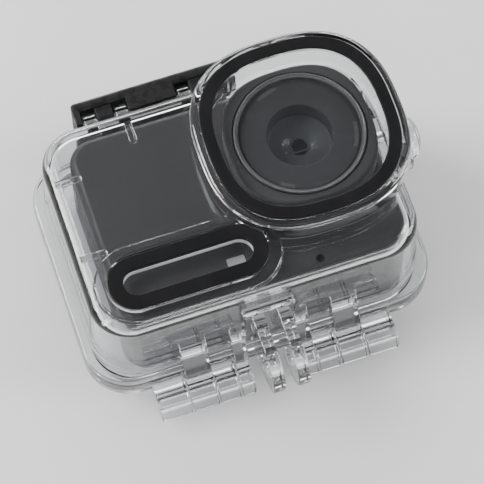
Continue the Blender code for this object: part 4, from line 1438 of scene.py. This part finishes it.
@dataclass
class PushButton:
    """Domed clear cap on a steel stem, with its spring, O-ring and retaining collar."""

    bench: Bench
    prefix: str
    seat: ButtonSeat
    body: Body
    pressed_share: float = 0.40

    def _spring(self) -> bpy.types.Object:
        """Conical compression spring: a node tree sweeps a round wire along a narrowing helix.

        Returns:
            The coil.
        """
        tree = Growth(self.prefix + "_spring_fine")
        wide = tree.size("Wide radius", 5.0 * MM)
        narrow = tree.size("Narrow radius", 3.2 * MM)
        wire = tree.size("Wire radius", 0.16 * MM)
        height = tree.size("Free height", (self.seat.mouth - 2.15 - self.seat.floor - 0.32) * MM)
        turns = tree.size("Turns", 3.0)
        helix = tree.add("GeometryNodeCurveSpiral", inputs={
            "Resolution": 48, "Rotations": turns, "Start Radius": wide, "End Radius": narrow,
            "Height": height})
        section = tree.add("GeometryNodeCurvePrimitiveCircle", inputs={"Resolution": 12, "Radius": wire})
        swept = tree.add("GeometryNodeCurveToMesh", inputs={"Curve": helix, "Profile Curve": section,
                                                            "Fill Caps": True})
        place = Matrix.Scale(MM, 4) @ self.seat.axis.place(self.seat.centre) @ Matrix.Scale(1 / MM, 4)
        start = Matrix.Translation((0, 0, (self.seat.floor + 0.21) * MM))
        return tree.grow(swept, self.bench.finishes.made["stainless_steel"], place @ start)

    def build(self) -> None:
        """Builds the five parts of the button."""
        m, name = self.seat.mouth, self.prefix
        dome = [(5.35 * math.sin(math.radians(a)), m + 1.4 + 2.6 * math.cos(math.radians(a)))
                for a in range(0, 91, 6)]
        cap = Solid(name + "_cap_fine").turn(
            [(0.0, m + 4.0), *dome[1:], (5.4, m + 1.0), (5.4, m - 1.0), (6.35, m - 1.0), (6.5, m - 1.15),
             (6.5, m - 1.85), (6.35, m - 2.0), (0.0, m - 2.0)], self.seat.axis, self.seat.centre, 96)
        self.bench.fit(cap.mesh(), "clear_polycarbonate", self.body, name + "_cap")
        stem = Solid(name + "_stem_fine").turn(
            [(0.0, m - 2.3), (2.1, m - 2.3), (2.2, m - 2.4), (2.2, m - 2.6), (1.3, m - 2.6),
             (1.3, self.seat.stem_end + 0.3), (1.0, self.seat.stem_end), (0.0, self.seat.stem_end)],
             self.seat.axis, self.seat.centre, 48)
        self.bench.fit(stem.mesh(), "stainless_steel", self.body, name + "_stem")
        spring = self.bench.fit(self._spring(), "stainless_steel", Body.CASE, name + "_spring", angle=60.0)
        place = self.seat.axis.place(self.seat.centre)
        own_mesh(spring)
        ring = [(2.15 + 0.35 * math.cos(math.tau * a / 16),
                 self.seat.floor - 0.45 + 0.35 * math.sin(math.tau * a / 16))
                for a in range(16)]
        self.bench.fit(Solid(name + "_o_ring_fine").turn(ring, self.seat.axis, self.seat.centre, 64).mesh(),
                       "black_rubber", Body.CASE, name + "_o_ring", angle=60.0)
        collar = [(5.7, m + 0.2), (5.8, m + 0.3), (6.55, m + 0.3), (6.75, m + 0.1), (6.75, m - 0.5),
                  (6.55, m - 0.7), (5.7, m - 0.7)]
        self.bench.fit(Solid(name + "_collar_fine").turn(collar, self.seat.axis, self.seat.centre, 96).mesh(),
                       "clear_polycarbonate", Body.CASE, name + "_collar")


# ---------------------------------------------------------------- the camera


@dataclass
class CameraBody:
    """Grey camera housing, rear cover with its screen, front display, battery door, keys and screws."""

    bench: Bench
    centre: Point = (2.2, 0.0)
    size: tuple[float, float, float] = (71.8, 50.4, 6.5)
    back: float = 4.8
    split: float = 8.6
    front: float = 31.4
    wall: float = 1.6
    lens: Point = LENS_CENTRE
    display: Point = (-15.4, -13.6)

    def _outline(self, inset: float) -> Outline:
        """Casing outline at an inset."""
        width, height, radius = self.size
        return rounded_rect(width - 2 * inset, height - 2 * inset, radius - inset, self.centre)

    def _housing(self) -> bpy.types.Object:
        """Open front housing with its cut-outs.

        Returns:
            The housing.
        """
        foot = self.split + 0.3
        sections = [(self._outline(0.2), foot), (self._outline(0.0), foot + 0.2),
                    (self._outline(0.0), self.front - 2.2), (self._outline(0.18), self.front - 1.45),
                    (self._outline(0.6), self.front - 0.78), (self._outline(1.15), self.front - 0.3),
                    (self._outline(1.9), self.front)]
        housing = Solid("camera_front_housing_fine").loft(sections).mesh()
        room = Solid("room").loft([(self._outline(self.wall), self.split - 1.0),
                                   (self._outline(self.wall), self.front - 2.4)]).mesh()
        hole = Solid("lens_hole").rod(13.4, 20.0, 40.0, Axis.Z, self.lens, 96).mesh()
        window = Solid("display_hole").loft([(rounded_rect(28.6, 13.0, 1.4, self.display), self.front - 0.8),
                                             (rounded_rect(28.6, 13.0, 1.4, self.display),
                                              self.front + 2.0)]).mesh()
        door = Solid("battery_gap").box((30.0, -18.6, 12.2), (42.0, 2.2, 27.8), 0.0).mesh()
        keys = Solid("key_holes")
        for seat, start, end in ((SIDE_SEAT, 30.0, 45.0), (SHUTTER_SEAT, 20.0, 32.0)):
            keys.rod(seat.key_hole, start, end, seat.axis, seat.centre)
        keys.rod(1.1, self.front - 1.3, self.front + 2.0, Axis.Z, (self.lens[0] - 5.1, -22.6), 32)
        combine(housing, "DIFFERENCE", [room, hole, window, door, keys.mesh(), self._side_grooves()])
        return self.bench.fit(clean(housing), "camera_grey", Body.CASE, "camera_front_housing")

    def _side_grooves(self) -> bpy.types.Object:
        """Shallow cooling grooves along the camera's left side.

        Returns:
            The cutting solid.
        """
        left = self.centre[0] - self.size[0] / 2
        solid = Solid("side_grooves")
        for index in range(6):
            z = 13.0 + 2.4 * index
            solid.box((left - 1.0, -16.0, z), (left + 0.5, 16.0, z + 1.0), 0.0)
        return solid.mesh()

    def _rear(self) -> None:
        """Rear cover with its screen and four screws."""
        sections = [(self._outline(1.2), self.back), (self._outline(0.62), self.back + 0.28),
                    (self._outline(0.2), self.back + 0.7), (self._outline(0.0), self.back + 1.3),
                    (self._outline(0.0), self.split - 0.2), (self._outline(0.2), self.split)]
        rear = Solid("camera_rear_cover_fine").loft(sections).mesh()
        screen_at = (self.centre[0] + 3.0, self.centre[1])
        room = Solid("rear_room").loft([(self._outline(self.wall), self.back + 1.8),
                                        (self._outline(self.wall), self.split + 2.0)]).mesh()
        seat = Solid("screen_seat").loft([(rounded_rect(55.6, 36.6, 2.3, screen_at), self.back - 2.0),
                                          (rounded_rect(55.6, 36.6, 2.3, screen_at), self.back + 1.1)]).mesh()
        combine(rear, "DIFFERENCE", [room, seat, self._screw_seats()])
        self.bench.fit(clean(rear), "camera_grey", Body.CASE, "camera_rear_cover")

        def glass(inset: float) -> Outline:
            """Screen outline at an inset."""
            return rounded_rect(55.0 - 2 * inset, 36.0 - 2 * inset, 2.0 - inset, screen_at)

        sections = [(glass(0.3), self.back + 0.05), (glass(0.1), self.back + 0.13),
                    (glass(0.0), self.back + 0.35), (glass(0.0), self.back + 0.8)]
        self.bench.fit(Solid("rear_screen_glass_fine").loft(sections).mesh(), "screen_glass", Body.CASE,
                       "rear_screen_glass")
        self.bench.fit(self._screws(), "stainless_steel", Body.CASE)

    def _screw_spots(self) -> list[Point]:
        """Centres of the four rear screws.

        Returns:
            Four centres.
        """
        width, height, _ = self.size
        return [(self.centre[0] + sx * (width / 2 - 4.2), self.centre[1] + sy * (height / 2 - 4.2))
                for sx in (-1, 1) for sy in (-1, 1)]

    def _screw_seats(self) -> bpy.types.Object:
        """Counterbores for the screw heads.

        Returns:
            The cutting solid.
        """
        solid = Solid("screw_seats")
        for spot in self._screw_spots():
            solid.rod(1.25, self.back - 1.0, self.back + 0.9, Axis.Z, spot, 32)
        return solid.mesh()

    def _screws(self) -> bpy.types.Object:
        """Screw heads with a round socket, set out by a node tree on a grid.

        Returns:
            The four heads in one piece.
        """
        width, height, _ = self.size
        head = Solid("screw_head").turn([(0.0, 0.42), (0.42, 0.42), (0.42, 0.12), (0.95, 0.12), (1.1, 0.25),
                                         (1.1, 0.7), (0.0, 0.7)], Axis.Z, (0.0, 0.0), 30).mesh()
        tree = Growth("camera_screws")
        across = tree.size("Spacing across", (width - 8.4) * MM)
        along = tree.size("Spacing along", (height - 8.4) * MM)
        grid = tree.add("GeometryNodeMeshGrid", inputs={"Size X": across, "Size Y": along, "Vertices X": 2,
                                                        "Vertices Y": 2})
        info = tree.add("GeometryNodeObjectInfo", inputs={"Object": head}, output="Geometry")
        rows = tree.add("GeometryNodeInstanceOnPoints", inputs={"Points": grid, "Instance": info})
        place = Matrix.Translation(Vector((self.centre[0], self.centre[1], self.back + 0.05)) * MM)
        screws = tree.grow(rows, self.bench.finishes.made["stainless_steel"], place)
        bpy.data.objects.remove(head, do_unlink=True)
        return screws

    def _front_display(self) -> None:
        """Display panel, its cover glass and the lit status tile."""
        x, y = self.display

        def glass(inset: float) -> Outline:
            """Cover glass outline at an inset."""
            return rounded_rect(28.52 - 2 * inset, 12.92 - 2 * inset, 1.36 - inset, self.display)

        sections = [(glass(0.0), self.front - 0.5)] + quarter_round(glass, self.front - 0.05, 0.1, 2)
        self.bench.fit(Solid("front_display_window_fine").loft(sections).mesh(), "display_glass", Body.CASE,
                       "front_display_window", slot="screen_glass")
        tile = Solid("status_tile").loft([
            (rounded_rect(4.4, 2.3, 0.35, (-3.8, -16.8), 6), self.front - 0.05),
            (rounded_rect(4.3, 2.2, 0.30, (-3.8, -16.8), 6), self.front + 0.02)])
        self.bench.fit(tile.mesh(), "lit_tile", Body.CASE, slot="display_grey")
        panel = Solid("front_display_fine").box((-29.4, -19.8, 27.6), (-1.6, -7.4, 28.5), 0.2)
        self.bench.fit(panel.mesh(), "display_grey", Body.CASE, "front_display")

    def _keys(self) -> None:
        """Power key, shutter key and the battery door with its pull."""
        keys = (("camera_power_button", SIDE_SEAT, 38.6, 36.2, 3.0, Body.POWER_KEY),
                ("camera_shutter_button", SHUTTER_SEAT, 25.8, 23.2, 4.0, Body.SHUTTER_KEY))
        for name, seat, top, foot, radius, body in keys:
            profile = [(0.0, top - 0.12), (radius * 0.45, top - 0.1), (radius * 0.62, top),
                       (radius - 0.35, top), (radius - 0.1, top - 0.1), (radius, top - 0.35),
                       (radius, foot), (0.0, foot)]
            self.bench.fit(Solid(name + "_fine").turn(profile, seat.axis, seat.centre, 64).mesh(),
                           "button_grey", body, name)
        edge = self.centre[0] + self.size[0] / 2 - 0.05
        door = Solid("battery_door_fine").box((36.7, -18.2, 12.6), (edge, 1.8, 27.3), 0.35).mesh()
        pull = Solid("pull").box((edge - 0.5, -4.6, 16.0), (edge + 1.0, -1.0, 24.0), 0.0).mesh()
        combine(door, "DIFFERENCE", [pull])
        self.bench.fit(clean(door), "camera_dark", Body.CASE, "battery_door")

    def _sound_hole_shade(self) -> None:
        """Rows of flat dark discs on the camera's lower side, set out by a node tree: painted shade that
        stands in for small sound holes.
        """
        tree = Growth("camera_sound_holes")
        pitch = tree.size("Hole pitch", 1.1 * MM)
        radius = tree.size("Hole radius", 0.32 * MM)
        grid = tree.add("GeometryNodeMeshGrid", inputs={"Size X": pitch * 5.0, "Size Y": pitch * 1.0,
                                                        "Vertices X": 6, "Vertices Y": 2})
        # Painted shade: each thin dark disc sits where a sound hole's shade would be.
        dot = tree.add("GeometryNodeMeshCylinder", {}, {"Vertices": 16, "Radius": radius, "Depth": 0.00012})
        rows = tree.add("GeometryNodeInstanceOnPoints", inputs={"Points": grid, "Instance": dot})
        side = self.centre[1] - self.size[1] / 2
        upright = Matrix.Rotation(math.radians(90), 4, "X")
        place = Matrix.Translation(Vector((-14.0, side, 20.0)) * MM) @ upright
        holes = tree.grow(rows, self.bench.finishes.made["camera_dark"], place)
        self.bench.fit(holes, "camera_dark", Body.CASE)

    def build(self) -> None:
        """Builds every outer part of the camera."""
        self._housing()
        self._rear()
        self._front_display()
        self._keys()
        self._sound_hole_shade()


@dataclass
class CameraLens:
    """Square lens cover, its glass and trim ring, the barrel with its baffles and the elements."""

    bench: Bench
    centre: Point = LENS_CENTRE
    side: float = 35.6
    foot: float = 31.7
    top: float = 38.0

    def _cover(self) -> None:
        """Frame of the lens cover."""
        def outline(inset: float) -> Outline:
            """Cover outline at an inset."""
            return squircle(self.side - 2 * inset, self.centre, 2.6, 200)

        sections = [(outline(0.15), self.foot), (outline(0.0), self.foot + 0.15)]
        sections += quarter_round(outline, self.top, 0.8, 7)
        frame = Solid("lens_cover_frame_fine").loft(sections).mesh()
        bore = Solid("bore").rod(14.2, 20.0, 45.0, Axis.Z, self.centre, 128).mesh()
        seat = Solid("seat").rod(16.3, self.top - 1.4, 45.0, Axis.Z, self.centre, 128).mesh()
        combine(frame, "DIFFERENCE", [bore, seat])
        self.bench.fit(clean(frame), "camera_grey", Body.CASE, "lens_cover_frame")
        glass = Solid("lens_cover_glass_fine").turn(
            [(0.0, self.top - 1.1), (14.5, self.top - 1.1), (14.6, self.top - 1.0), (14.6, self.top - 0.2),
             (14.5, self.top - 0.1), (0.0, self.top - 0.1)], Axis.Z, self.centre, 128)
        self.bench.fit(glass.mesh(), "cover_glass", Body.CASE, "lens_cover_glass", slot="lens_glass")
        ring = Solid("lens_trim_ring_fine").turn(
            [(14.9, self.top - 1.1), (15.9, self.top - 1.1), (15.9, self.top + 0.1), (15.85, self.top + 0.2),
             (15.75, self.top + 0.28), (15.62, self.top + 0.3), (15.52, self.top + 0.25),
             (15.45, self.top + 0.1), (15.35, self.top + 0.02), (14.95, self.top), (14.9, self.top - 0.05)],
            Axis.Z, self.centre, 160)
        self.bench.fit(ring.mesh(), "ring_grey", Body.CASE, "lens_trim_ring", slot="camera_dark")

    def _barrel(self) -> None:
        """Barrel with stepped light baffles, and the aperture frame behind the front element."""
        outside = [(8.4, 35.6), (12.6, 35.6), (13.0, 35.2), (13.0, 29.0), (9.2, 25.0), (9.2, 17.4),
                   (5.2, 17.4), (5.2, 19.6), (7.8, 19.6)]
        baffles = []
        for index in range(8):
            z = 20.6 + 1.6 * index
            baffles += [(7.8, z), (7.45, z + 0.15), (7.8, z + 0.5)] if z < 31.2 else []
        barrel = Solid("lens_barrel_fine").turn(outside + baffles + [(7.8, 33.2)], Axis.Z, self.centre, 96)
        self.bench.fit(barrel.mesh(), "lens_black", Body.CASE, "lens_barrel", slot="camera_dark")
        mask = Solid("lens_mask").turn([(8.05, 36.35), (8.15, 36.6), (8.5, 36.78), (14.17, 36.78),
                                        (14.17, 36.2), (8.05, 36.2)], Axis.Z, self.centre, 128)
        self.bench.fit(mask.mesh(), "lens_black", Body.CASE, slot="camera_dark")
        iris = Solid("iris_cone").turn([(7.75, 31.9), (7.75, 31.4), (2.4, 30.2), (2.4, 30.45)],
                                       Axis.Z, self.centre, 96)
        self.bench.fit(iris.mesh(), "tick_grey", Body.CASE, slot="camera_dark")
        flat, outer_radius, inner_radius = -1.55, 2.4, 1.95
        half = math.degrees(math.asin(flat / outer_radius))
        outer = arc(self.centre, outer_radius, half, 180.0 - half, 60)
        inner = arc(self.centre, inner_radius, half, 180.0 - half, 60)
        frame = Solid("iris_frame").tube([(outer, 30.55), (outer, 30.75), (inner, 30.75), (inner, 30.55)])
        self.bench.fit(frame.mesh(), "tick_grey", Body.CASE, slot="camera_dark")

    def _elements(self) -> None:
        """Domed front element and the rear element."""
        dome = [(7.4 * math.sin(math.radians(a)) / math.sin(math.radians(60)),
                 31.7 + 4.5 * (math.cos(math.radians(a)) - 0.5) / 0.5) for a in range(0, 61, 4)]
        front = Solid("front_lens_element_fine").turn(
            [(0.0, 36.2), *dome[1:-1], (7.4, 33.0), (7.4, 32.4), (0.0, 32.0)], Axis.Z, self.centre, 96)
        self.bench.fit(front.mesh(), "cover_glass", Body.CASE, "front_lens_element", slot="lens_glass")
        rear = Solid("rear_lens_element_fine").turn(
            [(0.0, 24.2), (2.4, 23.95), (4.6, 23.2), (6.6, 22.4), (6.6, 21.4), (3.2, 20.95), (0.0, 20.8)],
            Axis.Z, self.centre, 96)
        self.bench.fit(rear.mesh(), "lens_glass", Body.CASE, "rear_lens_element")

    def _marks(self) -> None:
        """Three groups of fine scale ticks round the lens, set out by a node tree."""
        for name, first, count in (("top", 97.0, 12), ("right", -31.0, 15), ("lower", -128.0, 8)):
            tree = Growth("lens_ticks_" + name)
            radius = tree.size("Ring radius", 13.6 * MM)
            start = tree.size("First angle", math.radians(first))
            step = tree.size("Angle step", math.radians(1.9))
            total = tree.size("Tick count", count, True)
            line = tree.add("GeometryNodeMeshLine", inputs={"Count": total})
            angle = start + tree.number() * step
            cosine = tree.add("ShaderNodeMath", {"operation": "COSINE"}, {0: angle})
            sine = tree.add("ShaderNodeMath", {"operation": "SINE"}, {0: angle})
            ring = tree.add("GeometryNodeSetPosition", inputs={
                "Geometry": line, "Position": tree.vector(radius * cosine, radius * sine)})
            tick = tree.add("GeometryNodeMeshCube", inputs={"Size": (0.0010, 0.00022, 0.00006)})
            rows = tree.add("GeometryNodeInstanceOnPoints", inputs={
                "Points": ring, "Instance": tick, "Rotation": tree.vector(0.0, 0.0, angle)})
            place = Matrix.Translation(Vector((*self.centre, 36.81)) * MM)
            ticks = tree.grow(rows, self.bench.finishes.made["tick_grey"], place)
            self.bench.fit(ticks, "tick_grey", Body.CASE, slot="camera_dark")

    def build(self) -> None:
        """Builds the whole lens."""
        self._cover()
        self._barrel()
        self._elements()
        self._marks()


@dataclass
class Electronics:
    """Boards, battery and small parts packed inside the camera, each rebuilt to its node's box."""

    bench: Bench
    nodes: dict[str, str] = field(default_factory=lambda: {
        "image_sensor": "screen_glass", "sensor_board": "board_green", "main_board": "board_green",
        "battery_pack": "battery_grey", "heat_spreader": "aluminium", "memory_card": "camera_dark",
        "usb_connector": "stainless_steel", "microphone": "aluminium", "loudspeaker": "camera_dark"})

    def build(self) -> None:
        """Replaces each block with one of the same size whose edges are rounded."""
        for node, finish in self.nodes.items():
            low, high = (tuple(value / MM for value in corner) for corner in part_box(node))
            soft = min(0.25, min(b - a for a, b in zip(low, high)) * 0.2)
            piece = Solid(node + "_fine").box(low, high, soft).mesh()
            self.bench.fit(piece, finish, Body.CASE, node)


# ---------------------------------------------------------------- stage


@dataclass
class Stage:
    """Pale floor, soft lamps and the camera."""

    glow: float = 0.30
    floor_grey: Colour = (0.60, 0.60, 0.60)
    surround: Colour = (0.80, 0.81, 0.83)
    surround_strength: float = 0.22
    focal: float = 185.95
    sensor: float = 36.0
    stand: tuple[float, float, float] = (-0.0772, -0.2366, 0.5735)
    axes: tuple[tuple[float, float, float], ...] = (
        (0.94665, -0.32227, 0.0), (0.29532, 0.86747, 0.40035), (-0.12902, -0.37899, 0.91636))
    lamps: tuple[tuple[str, tuple[float, float, float], float, Point], ...] = (
        ("key", (-0.75, 0.45, 0.85), 22.0, (0.5, 0.5)),
        ("fill", (0.95, -0.25, 0.65), 11.0, (0.35, 0.8)),
        ("back_strip", (0.15, 1.05, 0.30), 20.0, (1.2, 0.16)),
        ("left_strip", (-1.00, -0.30, 0.28), 8.0, (0.16, 0.9)),
        ("front_strip", (0.10, -1.10, 0.55), 6.0, (1.1, 0.2)))

    def build(self) -> None:
        """Builds the floor, lamps, world and camera."""
        self._floor()
        self._lights()
        self._camera()

    def _floor(self) -> None:
        """Plain pale floor that sweeps up into a softly glowing backdrop far behind the case."""
        flat, bend, wall = 1.7, 0.9, 2.4
        profile = [(0.001, 0.0), (flat * 0.5, 0.0), (flat, 0.0)]
        profile += [(flat + bend * math.sin(math.radians(a)), bend * (1 - math.cos(math.radians(a))))
                    for a in range(10, 91, 10)]
        profile.append((flat + bend, wall))
        count = 96
        sunk = 0.0003
        points = [(x, y, height - sunk) for radius, height in profile
                  for x, y in circle(radius, count=count)]
        faces = [tuple(range(count))]
        for ring in range(len(profile) - 1):
            for index in range(count):
                after = (index + 1) % count
                low, high = ring * count, (ring + 1) * count
                faces.append((high + index, high + after, low + after, low + index))
        data = bpy.data.meshes.new("floor")
        data.from_pydata(points, [], faces)
        data.shade_smooth()
        floor = bpy.data.objects.new("floor", data)
        bpy.context.scene.collection.objects.link(floor)
        paint = Paint("pale_floor")
        reach = paint.add("ShaderNodeVectorMath", {"operation": "LENGTH"}, {0: paint.where()}, "Value")
        glow = paint.add("ShaderNodeMapRange", {"interpolation_type": "SMOOTHSTEP"},
                         {"Value": reach, "From Min": 0.45, "From Max": 2.2, "To Min": 0.0, "To Max": 1.0})
        data.materials.append(paint.done(paint.surface({
            "Base Color": (*self.floor_grey, 1.0), "Roughness": 0.75,
            "Emission Color": paint.blend(glow, (0.0, 0.0, 0.0), (1.0, 1.0, 1.0)),
            "Emission Strength": self.glow})))

    def _lights(self) -> None:
        """Five soft area lamps and an even pale surround."""
        for name, spot, power, size in self.lamps:
            data = bpy.data.lights.new(name, "AREA")
            data.shape = "RECTANGLE"
            data.size, data.size_y = size
            data.energy = power
            lamp = bpy.data.objects.new(name, data)
            lamp.location = spot
            towards = Vector((0.0, 0.0, 0.02)) - Vector(spot)
            lamp.rotation_euler = towards.to_track_quat("-Z", "Y").to_euler()
            bpy.context.scene.collection.objects.link(lamp)
        world = bpy.data.worlds.new("surround")
        world.use_nodes = True
        backdrop = world.node_tree.nodes["Background"]
        backdrop.inputs["Color"].default_value = (*self.surround, 1.0)
        backdrop.inputs["Strength"].default_value = self.surround_strength
        bpy.context.scene.world = world

    def _camera(self) -> None:
        """Long lens looking down on the front, the case turned a little to its left."""
        data = bpy.data.cameras.new("camera")
        data.lens = self.focal
        data.sensor_width = self.sensor
        data.clip_start, data.clip_end = 0.01, 20.0
        camera = bpy.data.objects.new("camera", data)
        turn = Matrix(self.axes).transposed().to_4x4()
        camera.matrix_world = Matrix.Translation(self.stand) @ turn
        bpy.context.scene.collection.objects.link(camera)
        bpy.context.scene.camera = camera
        cycles = bpy.context.scene.cycles
        cycles.max_bounces, cycles.transmission_bounces, cycles.transparent_max_bounces = 28, 26, 28
        cycles.caustics_refractive = False
        cycles.caustics_reflective = False


def main() -> None:
    """Builds every sub-assembly in order."""
    logging.basicConfig(level=logging.INFO, format="%(name)s: %(message)s")
    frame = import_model()
    bench = Bench(Finishes())
    Stage().build()
    FrontShell(bench).build()
    RearDoor(bench).build()
    PanesAndBezels(bench).build()
    Latch(bench).build()
    HingePins(bench).build()
    PushButton(bench, "side_button", SIDE_SEAT, Body.SIDE).build()
    PushButton(bench, "shutter_button", SHUTTER_SEAT, Body.SHUTTER).build()
    CameraBody(bench).build()
    CameraLens(bench).build()
    Electronics(bench).build()
    log.info("%d pieces fitted round %d nodes", len(bench.fitted), len(frame["nodes"]))


if __name__ == "__main__":
    main()
